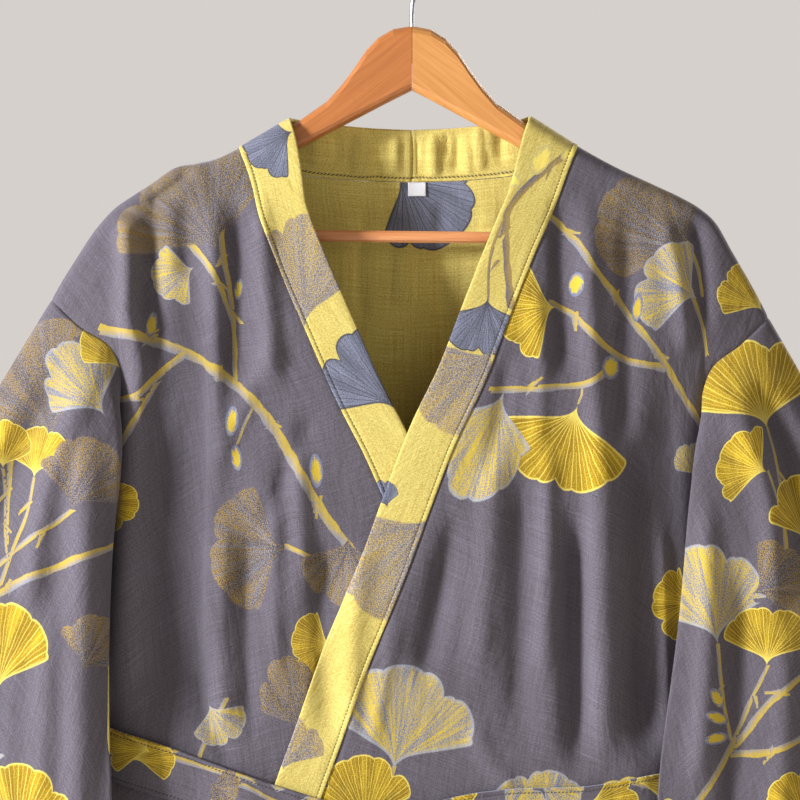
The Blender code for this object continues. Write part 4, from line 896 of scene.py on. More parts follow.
CREASES_BACK = (
    Crease(((-206, -204), (-200, -250), (-196, -320)), 7, 4.4),
    Crease(((-162, -178), (-168, -230), (-160, -300)), 8, -4.4),
    Crease(((-126, -166), (-132, -240), (-128, -340)), 8, 4.1),
    Crease(((-88, -190), (-92, -300), (-86, -420)), 9, -3.4),
    Crease(((-34, -192), (-40, -240), (-38, -300)), 6, 3.4),
    Crease(((-10, -190), (-8, -236), (-10, -282)), 5, -3.1),
    Crease(((22, -190), (20, -250), (24, -330)), 6, 3.4),
    Crease(((58, -190), (64, -270), (60, -390)), 8, -3.7),
    Crease(((112, -162), (118, -240), (122, -350)), 8, 4.4),
    Crease(((156, -178), (160, -240), (156, -330)), 7, -4.1),
    Crease(((203, -202), (198, -260), (200, -320)), 7, 4.1),
    Crease(((-178, -420), (-172, -500), (-178, -596)), 9, 4.1),
    Crease(((-120, -400), (-124, -500), (-118, -592)), 8, -3.4),
    Crease(((-58, -440), (-52, -520), (-56, -600)), 8, 3.7),
    Crease(((-4, -400), (2, -500), (-4, -604)), 9, -3.4),
    Crease(((46, -430), (42, -520), (48, -600)), 8, 3.7),
    Crease(((116, -420), (112, -510), (116, -600)), 9, -3.7),
    Crease(((168, -400), (176, -500), (170, -590)), 8, 3.7),
    Crease(((-188, -680), (-196, -800), (-214, -980)), 9, 4.4),
    Crease(((-138, -680), (-146, -770), (-148, -880)), 8, -4.1),
    Crease(((-82, -680), (-86, -820), (-94, -1040)), 10, 4.1),
    Crease(((-20, -680), (-22, -760), (-30, -860)), 8, -4.1),
    Crease(((42, -680), (46, -820), (44, -1000)), 9, 4.4),
    Crease(((96, -680), (100, -780), (108, -900)), 8, -3.7),
    Crease(((146, -680), (154, -820), (166, -1020)), 10, 4.1),
    Crease(((200, -680), (212, -790), (226, -930)), 9, -4.4),
    Crease(((-236, -900), (-246, -1050), (-252, -1236)), 11, -4.1),
    Crease(((-130, -980), (-138, -1100), (-136, -1240)), 11, 4.4),
    Crease(((-6, -940), (-10, -1080), (-4, -1236)), 12, -4.4),
    Crease(((92, -960), (98, -1100), (96, -1240)), 11, 4.1),
    Crease(((206, -980), (216, -1090), (222, -1238)), 11, 4.4),
)
CREASES_SLEEVE_LEFT = (
    Crease(((-236, -330), (-240, -470), (-243, -620), (-246, -750)), 13, 8.0),
    Crease(((-232, -322), (-262, -400), (-282, -520)), 10, 6.6),
    Crease(((-256, -310), (-290, -390), (-318, -500)), 9, -6.2),
    Crease(((-284, -330), (-318, -420), (-346, -520)), 9, 5.5),
    Crease(((-219, -400), (-222, -500), (-226, -640)), 6, -2.4),
    Crease(((-262, -480), (-268, -600), (-270, -730)), 11, 5.9),
    Crease(((-300, -500), (-306, -610), (-302, -715)), 9, -5.5),
    Crease(((-340, -540), (-344, -620), (-346, -690)), 10, 4.9),
    Crease(((-380, -540), (-386, -600), (-390, -672)), 9, -4.5),
    Crease(((-240, -640), (-244, -690), (-246, -742)), 7, 3.8),
)
CREASES_SLEEVE_RIGHT = (
    Crease(((229, -340), (256, -410), (262, -520)), 10, 6.2),
    Crease(((250, -326), (280, -400), (298, -500)), 9, -6.2),
    Crease(((276, -340), (306, -430), (326, -530)), 9, 5.5),
    Crease(((214, -400), (214, -520), (206, -650)), 9, 6.2),
    Crease(((240, -450), (238, -580), (226, -724)), 10, -6.2),
    Crease(((270, -500), (268, -620), (258, -722)), 11, 5.5),
    Crease(((306, -520), (306, -610), (300, -706)), 9, -4.9),
    Crease(((340, -560), (344, -630), (340, -692)), 10, 4.9),
    Crease(((366, -560), (372, -610), (372, -676)), 8, -4.2),
)
CREASES_SLEEVE_BACK = (
    Crease(((228, -330), (262, -420), (278, -540)), 10, 4.8),
    Crease(((256, -330), (290, -420), (306, -520)), 9, -4.5),
    Crease(((282, -340), (318, -450), (334, -560)), 10, 3.8),
    Crease(((296, -520), (300, -620), (296, -700)), 10, 4.2),
    Crease(((330, -560), (334, -620), (332, -690)), 9, -3.5),
    Crease(((366, -570), (370, -620), (372, -670)), 9, 3.2),
)
CREASES_BAND = (
    Crease(((-74, -134), (-72, -176)), 3, -3.4),
    Crease(((-58, -140), (-57, -174)), 3.5, 3.4),
    Crease(((-41, -146), (-42, -182)), 3, -3.9),
    Crease(((-27, -150), (-26, -184)), 3.5, 3.0),
    Crease(((-12, -148), (-13, -180)), 3, -3.0),
    Crease(((3, -150), (4, -184)), 2.5, 3.4),
    Crease(((16, -148), (17, -182)), 3, -3.9),
    Crease(((34, -146), (33, -180)), 4, 3.4),
    Crease(((50, -142), (51, -178)), 3, -3.4),
    Crease(((66, -136), (66, -174)), 3.5, 3.0),
    Crease(((-66, -138), (-64, -160)), 2, 2.0),
    Crease(((-34, -160), (-36, -184)), 2, -2.2),
    Crease(((-20, -148), (-19, -170)), 2, 2.2),
    Crease(((10, -160), (9, -184)), 2, 2.0),
    Crease(((26, -146), (25, -168)), 2, 2.4),
    Crease(((42, -156), (43, -180)), 2, -2.2),
    Crease(((58, -140), (57, -162)), 2, -2.0),
)
CREASES_BELT = (
    Crease(((-206, -596), (-176, -618)), 3.5, 1.7),
    Crease(((-136, -624), (-104, -650)), 4, -2.0),
    Crease(((-72, -644), (-58, -676)), 5, 2.2),
    Crease(((-64, -656), (-52, -664)), 4, -2.0),
    Crease(((-14, -652), (8, -668)), 4, 2.2),
    Crease(((60, -640), (90, -658)), 4, -1.7),
    Crease(((140, -634), (172, -650)), 4, 1.7),
)

# The share of a crease over which it rises, and the steps in which its line is followed
CREASE_END, CREASE_STEPS = 0.22, 33

# A fan leaf's half angle, the length of its narrow neck, the rounding of its corners, and how far
# past its edge its coordinates are laid; then a twig's steps, margin and spurs
FAN_ANGLE = 1.15
FAN_NECK = 0.055
LEAF_ROUNDING = 0.07
LEAF_MARGIN = 6.0
TWIG_STEPS, TWIG_MARGIN = 6, 20.0
SPUR_STEP, SPUR_LENGTH = 58.0, 7.0
SPUR_PLACES = 40
NO_TWIG, TWIG_REACH = 9.0, 3.0


def crease_relief(creases, x, z):
    """The height that a table of creases adds at each x, z."""
    total = np.zeros(np.shape(x))
    for crease in creases:
        line = along(crease.points, np.linspace(0, 1, CREASE_STEPS))
        start, run = line[:-1], np.diff(line, axis=0)
        length = np.linalg.norm(run, axis=1)
        nearest = np.full(np.shape(x), 1e9)
        place = np.zeros(np.shape(x))
        for i in range(len(run)):
            (x0, z0), (run_x, run_z) = start[i], run[i]
            share = np.clip(((x - x0) * run_x + (z - z0) * run_z) / length[i] ** 2, 0, 1)
            away = np.hypot(x - x0 - share * run_x, z - z0 - share * run_z)
            closer = away < nearest
            nearest = np.where(closer, away, nearest)
            place = np.where(closer, (i + share) / len(run), place)
        ends = eased(place / CREASE_END) * eased((1 - place) / CREASE_END)
        total += crease.height * np.exp(-((nearest / crease.width) ** 2)) * ends
    return total


def smooth_least(a, b, blend):
    """The lesser of two values with its corner rounded, as the Smooth Minimum node has it."""
    share = np.maximum(blend - np.abs(a - b), 0) / blend
    return np.minimum(a, b) - share**3 * blend / 6


def leaf_edge(u, v, seed):
    """How far a point is inside a fan leaf, in leaf lengths; less than 0 is outside."""
    r = np.hypot(u, v)
    angle = np.arctan2(u, v)
    side = FAN_ANGLE * r**2 / (r**2 + FAN_NECK)
    lobes = (1 - np.abs(np.sin(angle * 2.3 + seed * 9))) ** 4 * 0.13
    teeth = (1 - np.abs(np.sin(angle * 7.1 + seed * 23))) ** 2 * 0.035
    shoulders = 0.16 * (angle / FAN_ANGLE) ** 4
    tip = 1 - lobes - teeth - shoulders - r
    return smooth_least(tip, (side - np.abs(angle)) * r, LEAF_ROUNDING)


def leaf_axes(leaf, flat):
    """A leaf's own coordinates at flat points: across and along, in leaf lengths."""
    turn = math.radians(leaf.turn)
    dx, dz = flat[..., 0] - leaf.x, flat[..., 1] - leaf.z
    across = (math.cos(turn) * dx - math.sin(turn) * dz) / (leaf.size * leaf.width)
    return across, (math.sin(turn) * dx + math.cos(turn) * dz) / leaf.size


def lay_leaves(leaves, corners):
    """Two layers of leaf coordinates for the corners of each face: across, along, kind and seed."""
    centres = corners.mean(axis=1)
    layers = [np.zeros(corners.shape[:2] + (3,)) for _ in range(2)]
    layers[0][..., 1] = layers[1][..., 1] = -5.0
    filled = np.zeros(len(corners), int)
    for leaf in reversed(leaves):
        u, v = leaf_axes(leaf, centres)
        margin = LEAF_MARGIN / leaf.size
        if leaf.kind == BUD:
            near = np.hypot(u, v - 0.5) < 0.5 + margin / leaf.width
        else:
            near = leaf_edge(u, v, leaf.seed) > -margin
        corner_u, corner_v = leaf_axes(leaf, corners)
        for number, layer in enumerate(layers):
            here = near & (filled == number)
            layer[here, :, 0] = corner_u[here]
            layer[here, :, 1] = corner_v[here]
            layer[here, :, 2] = leaf.kind + leaf.seed * 0.9
        filled += near
    return layers


def with_spurs(twigs):
    """Twigs with the short spurs that stand off them, on one side and then the other."""
    grown = list(twigs)
    for number, twig in enumerate(twigs):
        line = along(twig.points, np.linspace(0, 1, SPUR_PLACES + 1))
        length = np.linalg.norm(np.diff(line, axis=0), axis=1).sum()
        for turn in range(int(length / SPUR_STEP)):
            share = (turn + 0.5 + 0.2 * math.sin(number * 5 + turn * 3)) * SPUR_STEP / length
            place = int(SPUR_PLACES * share)
            run = line[place + 1] - line[place]
            run = run / np.linalg.norm(run)
            side = 1 if (turn + number) % 2 else -1
            out = run * 0.8 + side * 0.6 * np.array([run[1], -run[0]])
            reach = SPUR_LENGTH * (1 + 0.3 * math.sin(number * 7 + turn * 5))
            half = twig.start + (twig.end - twig.start) * share
            grown.append(Twig((line[place], line[place] + out * reach), half * 1.1, 1.0))
    return grown


def lay_twigs(twigs, corners):
    """The nearest twig at the corners of each face: the offset across it in half widths, the way
    along it and its number."""
    centres = corners.mean(axis=1)
    found = np.full(corners.shape[:2] + (3,), NO_TWIG)
    best = np.full(len(corners), TWIG_REACH)
    for number, twig in enumerate(with_spurs(twigs)):
        near = np.abs(centres - np.mean(twig.points, axis=0)).max(axis=1)
        near = near < np.ptp(np.array(twig.points), axis=0).max() + TWIG_MARGIN
        near = np.nonzero(near)[0]
        steps = TWIG_STEPS * len(twig.points)
        line = along(twig.points, np.linspace(0, 1, steps + 1))
        run = np.diff(line, axis=0)
        length = np.linalg.norm(run, axis=1)
        way = np.concatenate([[0], np.cumsum(length)])
        for i in range(steps):
            half = twig.start + (twig.end - twig.start) * (i + 0.5) / steps
            tangent = run[i] / length[i]
            offset = centres[near] - line[i]
            on = offset @ tangent
            lateral = (offset[:, 0] * tangent[1] - offset[:, 1] * tangent[0]) / half
            past = np.maximum(np.maximum(-on, on - length[i]), 0) / half
            far = np.hypot(lateral, past)
            closer = far < best[near]
            here = near[closer]
            best[here] = far[closer]
            offset = corners[here] - line[i]
            found[here, :, 0] = (offset[..., 0] * tangent[1] - offset[..., 1] * tangent[0]) / half
            found[here, :, 1] = way[i] + offset @ tangent
            found[here, :, 2] = number + 1
    return found


def cloth_mesh(name, points, normals, closed):
    """A grid of cloth moved to its points, as a mesh with the row and column of each corner."""
    rows, columns = points.shape[:2]
    bm = bmesh.new()
    bmesh.ops.create_grid(bm, x_segments=columns - 1, y_segments=rows - 1, size=1.0)
    row_of = bm.verts.layers.int.new("row")
    column_of = bm.verts.layers.int.new("column")
    grid = {}
    for vert in bm.verts:
        down = round((vert.co.y + 1) / 2 * (rows - 1))
        across = round((vert.co.x + 1) / 2 * (columns - 1))
        vert[row_of], vert[column_of] = down, across
        grid[down, across] = vert
    if closed:
        ends = {grid[down, columns - 1]: grid[down, 0] for down in range(rows)}
        bmesh.ops.weld_verts(bm, targetmap=ends)
    for vert in bm.verts:
        vert.co = Vector(points[vert[row_of], vert[column_of]]) * MM
    bmesh.ops.recalc_face_normals(bm, faces=bm.faces[:])
    probe = bm.faces[len(bm.faces) // 2]
    way_out = normals[probe.verts[0][row_of], probe.verts[0][column_of]]
    if probe.normal.dot(Vector(way_out)) < 0:
        bmesh.ops.reverse_faces(bm, faces=bm.faces[:])
    mesh = bpy.data.meshes.new(name)
    bm.to_mesh(mesh)
    bm.free()
    mesh.shade_smooth()

    vertex = np.empty(len(mesh.loops), int)
    mesh.loops.foreach_get("vertex_index", vertex)
    down = np.empty(len(mesh.vertices), int)
    across = np.empty(len(mesh.vertices), int)
    mesh.attributes["row"].data.foreach_get("value", down)
    mesh.attributes["column"].data.foreach_get("value", across)
    down, across = down[vertex].reshape(-1, 4), across[vertex].reshape(-1, 4)
    if closed:
        wraps = across.max(axis=1) - across.min(axis=1) > 1
        across = np.where(wraps[:, None] & (across == 0), columns - 1, across)
    return mesh, down, across


def hang_piece(name, mesh, wall=0.0):
    """A finished mesh as a piece of the robe, with a wall about its sheet where it has one."""
    piece = bpy.data.objects.new(name, mesh)
    bpy.context.scene.collection.objects.link(piece)
    if wall:
        thicken = piece.modifiers.new("wall", "SOLIDIFY")
        thicken.thickness = wall * MM
        thicken.offset = 0.0
        thicken.material_offset = len(mesh.materials) - 1
    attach(piece, "root")
    return piece


def write_corners(mesh, name, values):
    layer = mesh.attributes.new(name, "FLOAT_VECTOR", "CORNER")
    layer.data.foreach_set("vector", np.ascontiguousarray(values.reshape(-1), np.float32))


def lengths_along(points, axis):
    """The length run along each line of a grid of points."""
    step = np.linalg.norm(np.diff(points, axis=axis), axis=-1)
    first = np.zeros_like(np.take(step, [0], axis=axis))
    return np.concatenate([first, np.cumsum(step, axis=axis)], axis=axis)


def trim_edge(points, axis, last):
    """Pulls one edge back into its own sheet, by half of a seam's gap."""
    points = np.moveaxis(points, axis, 0)
    edge, beside = (-1, -2) if last else (0, 1)
    run = points[beside] - points[edge]
    points[edge] += run / np.linalg.norm(run, axis=-1, keepdims=True) * SEAM_GAP / 2


def make_cloth(
    name, points, outward, wall, materials, leaves, twigs, stitch, relief_at, trims=(), closed=False
):
    """One cut piece of cloth: a fine grid given a wall, with its pattern laid on by corners.

    stitch is the distance from the line of stitches at each point and relief_at the height of
    the creases there, in millimetres. trims names the edges that meet another piece. The threads
    attribute holds the way across and down the cloth and the height of its creases.
    """
    normals = normals_of(points, closed) * outward
    flat = points[..., [0, 2]]
    points = points + normals * relief_at[..., None]
    for axis, last in trims:
        trim_edge(points, axis, last)
    mesh, down, across = cloth_mesh(name, points, normals, closed)
    corners = flat[down, across]
    over, under = lay_leaves(leaves, corners)
    write_corners(mesh, "leaf_over", over)
    write_corners(mesh, "leaf_under", under)
    write_corners(mesh, "twig", lay_twigs(twigs, corners))
    warp = lengths_along(points, 0)
    weft = lengths_along(points, 1)
    middle = weft.shape[1] // 2
    weft = weft - weft[:, middle: middle + 1]
    threads = np.stack([weft, warp, relief_at], -1)
    write_corners(mesh, "threads", threads[down, across])
    stitches = np.stack([stitch, warp, weft], -1)
    write_corners(mesh, "stitches", stitches[down, across])
    for material in materials:
        mesh.materials.append(material)
    return hang_piece(name, mesh, wall)


class Number:
    """A number in a material's nodes, so that sums are written as ordinary arithmetic."""

    def __init__(self, tree, socket):
        self.tree, self.socket = tree, socket

    def math(self, operation, *others):
        node = self.tree.nodes.new("ShaderNodeMath")
        node.operation = operation
        for slot, value in zip(node.inputs, (self, *others)):
            if isinstance(value, Number):
                self.tree.links.new(value.socket, slot)
            else:
                slot.default_value = value
        return Number(self.tree, node.outputs[0])

    def __add__(self, other):
        return self.math("ADD", other)

    __radd__ = __add__

    def __sub__(self, other):
        return self.math("SUBTRACT", other)

    def __rsub__(self, other):
        node = self.tree.nodes.new("ShaderNodeMath")
        node.operation = "SUBTRACT"
        node.inputs[0].default_value = other
        self.tree.links.new(self.socket, node.inputs[1])
        return Number(self.tree, node.outputs[0])

    def __mul__(self, other):
        return self.math("MULTIPLY", other)

    __rmul__ = __mul__

    def __truediv__(self, other):
        return self.math("DIVIDE", other)

    def __pow__(self, other):
        return self.math("POWER", other)

    def __abs__(self):
        return self.math("ABSOLUTE")

    def __gt__(self, other):
        return self.math("GREATER_THAN", other)

    def __lt__(self, other):
        return self.math("LESS_THAN", other)


class Finish:
    """A material with a Principled shader, and the few ways in which its nodes are made."""

    def __init__(self, name, roughness, **settings):
        self.material = bpy.data.materials.new(name)
        self.material.use_nodes = True
        self.tree = self.material.node_tree
        self.shader = self.tree.nodes["Principled BSDF"]
        self.shader.inputs["Roughness"].default_value = roughness
        for socket, value in settings.items():
            self.shader.inputs[socket.replace("_", " ")].default_value = value

    def node(self, kind, settings=(), **inputs):
        """Any node: its type, its settings, then its sockets by name."""
        node = self.tree.nodes.new("ShaderNode" + kind)
        for setting, value in dict(settings).items():
            setattr(node, setting, value)
        for name, value in inputs.items():
            self.join(value, node.inputs[name.replace("_", " ")])
        return node

    def join(self, value, socket):
        if isinstance(value, Number):
            value = value.socket
        if isinstance(value, bpy.types.NodeSocket):
            self.tree.links.new(value, socket)
        else:
            socket.default_value = value

    def parts(self, attribute):
        """The three numbers of an attribute of the piece."""
        source = self.node("Attribute", {"attribute_name": attribute})
        split = self.node("SeparateXYZ", Vector=source.outputs["Vector"])
        return [Number(self.tree, out) for out in split.outputs]

    def vector(self, x, y, z=0.0):
        return self.node("CombineXYZ", X=x, Y=y, Z=z).outputs[0]

    def noise(self, where, scale, detail=2.0, roughness=0.5):
        made = self.node("TexNoise", Vector=where, Scale=scale, Detail=detail, Roughness=roughness)
        return Number(self.tree, made.outputs["Fac"])

    def ramp(self, value, low, high, start=0.0, end=1.0):
        """A smooth step between two values."""
        made = self.node("MapRange", {"interpolation_type": "SMOOTHSTEP"})
        for socket, number in zip(made.inputs, (value, low, high, start, end)):
            self.join(number, socket)
        return Number(self.tree, made.outputs[0])

    def mix(self, share, first, second):
        """A colour between two colours."""
        node = self.node("Mix", {"data_type": "RGBA"})
        self.join(share, node.inputs[0])
        for socket, colour in zip(node.inputs[6:8], (first, second)):
            self.join((*colour, 1.0) if isinstance(colour, tuple) else colour, socket)
        return node.outputs[2]

    def colour(self, value):
        self.join(value, self.shader.inputs["Base Color"])

    def roughen(self, value):
        self.join(value, self.shader.inputs["Roughness"])

    def bump(self, height, distance, strength=1.0, under=None):
        node = self.node("Bump", Height=height, Distance=distance, Strength=strength)
        if under is not None:
            self.join(under, node.inputs["Normal"])
        self.join(node.outputs[0], self.shader.inputs["Normal"])
        return node.outputs[0]


def linear(red, green, blue):
    """A screen colour of 0 to 255 as the linear colour that a shader takes."""
    return tuple(
        c / 12.92 if c <= 0.04045 else ((c + 0.055) / 1.055) ** 2.4
        for c in (red / 255, green / 255, blue / 255)
    )


# The colours of the cloth's two faces: ground threads, then each leaf kind's dark, mid, light.
GREY_FACE = {
    "ground": (linear(73, 65, 67), linear(108, 102, 110)),
    "slub": linear(136, 132, 142),
    "gold": (linear(142, 112, 12), linear(196, 162, 30), linear(228, 206, 98)),
    "striped": (linear(110, 115, 138), linear(200, 172, 52), linear(144, 149, 162)),
    "stippled": (linear(76, 70, 72), linear(164, 132, 50), linear(116, 120, 138)),
    "twig": (linear(128, 128, 138), linear(178, 152, 58)),
    "thread": linear(58, 54, 52),
}
YELLOW_FACE = {
    "ground": (linear(176, 146, 58), linear(228, 214, 124)),
    "slub": linear(240, 228, 150),
    "gold": (linear(98, 100, 112), linear(130, 133, 148), linear(60, 57, 62)),
    "striped": (linear(196, 180, 110), linear(232, 210, 100), linear(176, 172, 160)),
    "stippled": (linear(112, 106, 108), linear(206, 172, 66), linear(162, 158, 156)),
    "twig": (linear(106, 102, 108), linear(160, 134, 74)),
    "thread": linear(72, 60, 34),
}


# The height of a crease at which the painted shade in its hollows and the painted highlight on its
# ridges are strongest, and the depths of crinkles and threads
CREASE_SHADE_HEIGHT, CRINKLE_DEPTH, THREAD_DEPTH = 8.0, 1.5, 0.3


def leaf_paint(finish, where, speck, grain, face):
    """The shape and colour of one layer of leaves. Returns the colour and where it covers."""
    u, v, code = finish.parts(where)
    kind = (code + 0.001).math("FLOOR")
    seed = (code - kind) / 0.9
    r = (u * u + v * v).math("SQRT")
    angle = u.math("ARCTAN2", v)
    side = FAN_ANGLE * (r * r) / (r * r + FAN_NECK)
    lobes = (1 - abs((angle * 2.3 + seed * 9).math("SINE"))) ** 4.0 * 0.13
    teeth = (1 - abs((angle * 7.1 + seed * 23).math("SINE"))) ** 2.0 * 0.035
    shoulders = 0.16 * (abs(angle) / FAN_ANGLE) ** 4.0
    rim = (1 - lobes - teeth - shoulders) - r
    fan = rim.math("SMOOTH_MIN", (side - abs(angle)) * r, LEAF_ROUNDING)
    low = v - 0.5
    bud = 0.5 - (u * u + low * low).math("SQRT")
    is_bud = kind > 4.5
    depth_in = fan * (1 - is_bud) + bud * is_bud
    is_striped = (kind > 1.5) * (kind < 2.5)
    is_stippled = (kind > 2.5) * (kind < 3.5)
    ragged = depth_in + (speck - 0.5) * (0.012 + 0.03 * is_stippled)
    cover = finish.ramp(ragged, -0.004, 0.012) * (kind > 0.5)

    sector = angle / (side + 0.02)
    wander = finish.noise(finish.vector(sector * 2, r * 3, seed * 31), 1.6, 1.0) * 0.35
    ribs_at = sector * 8 + wander + seed
    rib = abs(ribs_at.math("FRACT") - 0.5) * side * r / 8
    fine = abs((ribs_at * 2 + 0.5).math("FRACT") - 0.5) * side * r / 16
    thin = finish.ramp(rib + (speck - 0.5) * 0.012, 0.008, 0.001)
    forked = finish.ramp(fine + (r < 0.55) + (speck - 0.5) * 0.012, 0.006, 0.001)
    thin = thin.math("MAXIMUM", forked * 0.6)
    edge = finish.ramp(depth_in, 0.034, 0.016)

    broad = finish.noise(finish.vector(sector * 2.4, r * 0.5, seed * 57), 2.2, 2.0)
    dark, mid, light = face["gold"]
    gold = finish.mix(finish.ramp(broad + (speck - 0.5) * 0.9, 0.4, 0.74), dark, mid)
    gold = finish.mix(thin.math("MAXIMUM", edge) * 0.85, gold, light)
    cool, warm, pale = face["striped"]
    bands = finish.noise(finish.vector(sector * 9, r * 0.5, seed * 71), 2.4, 2.0)
    hatch = bands * 0.5 + broad * 0.5 + (speck - 0.5) * 0.9
    striped = finish.mix(finish.ramp(hatch, 0.4, 0.6), cool, warm)
    rim = finish.ramp(depth_in + (speck - 0.5) * 0.04, 0.05, 0.01)
    striped = finish.mix(rim * 0.8, striped, pale)
    base, ochre, blue = face["stippled"]
    share = broad * 0.7 + r * 0.3 + (speck - 0.5) * 2.2
    stippled = finish.mix(finish.ramp(share, 0.62, 0.72), base, ochre)
    dotted = finish.ramp(grain + (bands - 0.5) * 0.7, 0.56, 0.66)
    stippled = finish.mix(dotted * 0.8, stippled, blue)
    core = finish.ramp(depth_in + (speck - 0.5) * 0.3 + (broad - 0.5) * 0.5, 0.08, 0.2)
    budded = finish.mix(core, cool, warm)
    paint = finish.mix(is_striped, gold, striped)
    paint = finish.mix(is_stippled, paint, stippled)
    return finish.mix(is_bud, paint, budded), cover


def double_cloth(name, face, crinkle):
    """Woven double cloth: a slubby ground, twigs and leaves, with crinkles and stitches."""
    finish = Finish(
        name, 0.86, Sheen_Weight=0.22, Sheen_Roughness=0.5, Sheen_Tint=(0.86, 0.88, 1.0, 1.0)
    )
    finish.shader.inputs["Specular IOR Level"].default_value = 0.25
    weft, warp, height = finish.parts("threads")
    fine_weft = finish.noise(finish.vector(weft * 0.7, warp * 2.2), 1.0, 1.0)
    fine_warp = finish.noise(finish.vector(weft * 2.2, warp * 0.7, 7.0), 1.0, 1.0)
    speck = finish.noise(finish.vector(weft * 1.4, warp * 1.4, 3.0), 1.0, 0.0)
    grain = finish.noise(finish.vector(weft * 1.2, warp * 1.6, 19.0), 1.0, 0.0)
    woven = fine_weft * 0.55 + fine_warp * 0.45
    slub = finish.noise(finish.vector(weft * 0.03, warp * 0.9, 11.0), 1.0, 2.0)
    rise = finish.noise(finish.vector(weft * 0.8, warp * 0.02, 5.0), 1.0, 2.0)
    cloud = finish.noise(finish.vector(weft * 0.02, warp * 0.012, 2.0), 1.0, 2.0)
    dark, pale = face["ground"]
    mixed = woven + (slub - 0.5) * 0.3 + (rise - 0.5) * 0.25 + (cloud - 0.5) * 0.1
    ground = finish.mix(finish.ramp(mixed, 0.26, 0.74), dark, pale)
    thick = finish.ramp(slub + (speck - 0.5) * 0.4, 0.68, 0.84) * 0.35
    ground = finish.mix(thick, ground, face["slub"])

    away, run, number = finish.parts("twig")
    knobs = finish.noise(finish.vector(run * 0.07, number * 5.0, away * 0.2), 1.0, 1.0)
    ragged = abs(away) + (speck - 0.5) * 0.4 - (knobs - 0.5) * 1.1
    cool, warm = face["twig"]
    streak = finish.noise(finish.vector(run * 0.035, number * 3.0), 1.0, 1.0)
    shaded = finish.ramp(away * 0.6 + (streak - 0.5) * 2 + (speck - 0.5) * 2.4, -0.3, 0.7)
    stem = finish.mix(shaded, warm, cool)
    dressed = finish.mix(finish.ramp(ragged, 1.08, 0.92), ground, stem)
    for layer in ("leaf_under", "leaf_over"):
        paint, cover = leaf_paint(finish, layer, speck, grain, face)
        dressed = finish.mix(cover, dressed, paint)

    line, down, level = finish.parts("stitches")
    dash = ((down + level) * 0.36).math("FRACT")
    sewn = finish.ramp(abs(line), 0.62, 0.42) * (dash < 0.62)
    dressed = finish.mix(sewn * 0.85, dressed, face["thread"])
    # Painted shade and highlight: the cloth's colour is darkened in the hollows of its creases and
    # lightened on their ridges.
    crease_shade = finish.ramp(height, -CREASE_SHADE_HEIGHT, CREASE_SHADE_HEIGHT, 0.78, 1.16)
    crease_shaded = finish.node("HueSaturation", Color=dressed, Value=crease_shade)
    finish.colour(crease_shaded.outputs[0])
    finish.roughen(0.8 + woven * 0.16)

    folds = finish.noise(finish.vector(weft * 0.055, warp * 0.022, 4.0), 1.0, 3.0, 0.55)
    puckers = finish.noise(finish.vector(weft * 0.16, warp * 0.09, 8.0), 1.0, 2.0)
    soft = finish.bump(folds * crinkle + puckers * crinkle * 0.35, MM * CRINKLE_DEPTH)
    dimple = finish.ramp(abs(line), 1.3, 0.2) * -0.7
    finish.bump(woven * 0.4 + (slub - 0.5) * 0.5 + dimple, MM * THREAD_DEPTH, 1.0, soft)
    return finish.material


def varnished_wood(name, light, dark, ring):
    """Satin varnished wood with its grain along X."""
    finish = Finish(name, 0.4, Coat_Weight=0.25, Coat_Roughness=0.25)
    where = finish.node("TexCoord").outputs["Object"]
    split = finish.node("SeparateXYZ", Vector=where)
    x, y, z = (Number(finish.tree, out) * 1000 for out in split.outputs)
    fall = z + abs(x) * ring
    wander = finish.noise(finish.vector(x * 0.008, y * 0.05, fall * 0.05), 1.0, 2.0) * 5
    grain = finish.noise(finish.vector(x * 0.012, y * 0.3, fall * 0.32 + wander), 1.0, 3.0, 0.6)
    fibre = finish.noise(finish.vector(x * 0.05, y * 2.2, fall * 2.4), 1.0, 2.0)
    tone = finish.ramp(grain * 0.75 + fibre * 0.25, 0.2, 0.8)
    finish.colour(finish.mix(tone, dark, light))
    finish.roughen(0.34 + fibre * 0.18)
    finish.bump(fibre + grain * 0.4, MM * 0.12)
    return finish.material


def plain_tape(name):
    """Smooth white label tape."""
    finish = Finish(name, 0.6, Sheen_Weight=0.1)
    split = finish.node("SeparateXYZ", Vector=finish.node("TexCoord").outputs["Object"])
    x, _, z = (Number(finish.tree, out) * 1000 for out in split.outputs)
    rib = (x * 9.0).math("SINE") * 0.5 + (z * 9.0).math("SINE") * 0.5
    # The raised ribs are painted lighter than the grooves between them, as painted highlight and
    # shade.
    raised = finish.ramp(rib, -1.0, 1.0)
    finish.colour(finish.mix(raised, linear(226, 226, 224), linear(246, 246, 246)))
    finish.bump(rib, MM * 0.08)
    return finish.material


def drawn_steel(name):
    """Bright drawn wire with fine lengthwise marks."""
    finish = Finish(name, 0.28, Metallic=1.0)
    where = finish.node("TexCoord").outputs["Object"]
    drawn = finish.node("Mapping", Vector=where, Scale=(900.0, 900.0, 60.0)).outputs[0]
    marks = finish.noise(drawn, 1.0, 2.0)
    finish.colour(finish.mix(marks, linear(120, 120, 122), linear(196, 196, 198)))
    finish.roughen(0.22 + marks * 0.2)
    finish.bump(marks, MM * 0.03)
    return finish.material


def rows_down(upper, lower):
    """Rows of a panel, close together at the shoulder."""
    top = np.linspace(0, 1, upper + 1) ** 1.3
    return np.concatenate([top, 1 + np.arange(1, lower + 1) / lower])


def near_line(distance, reach):
    return np.exp(-((distance / reach) ** 2))


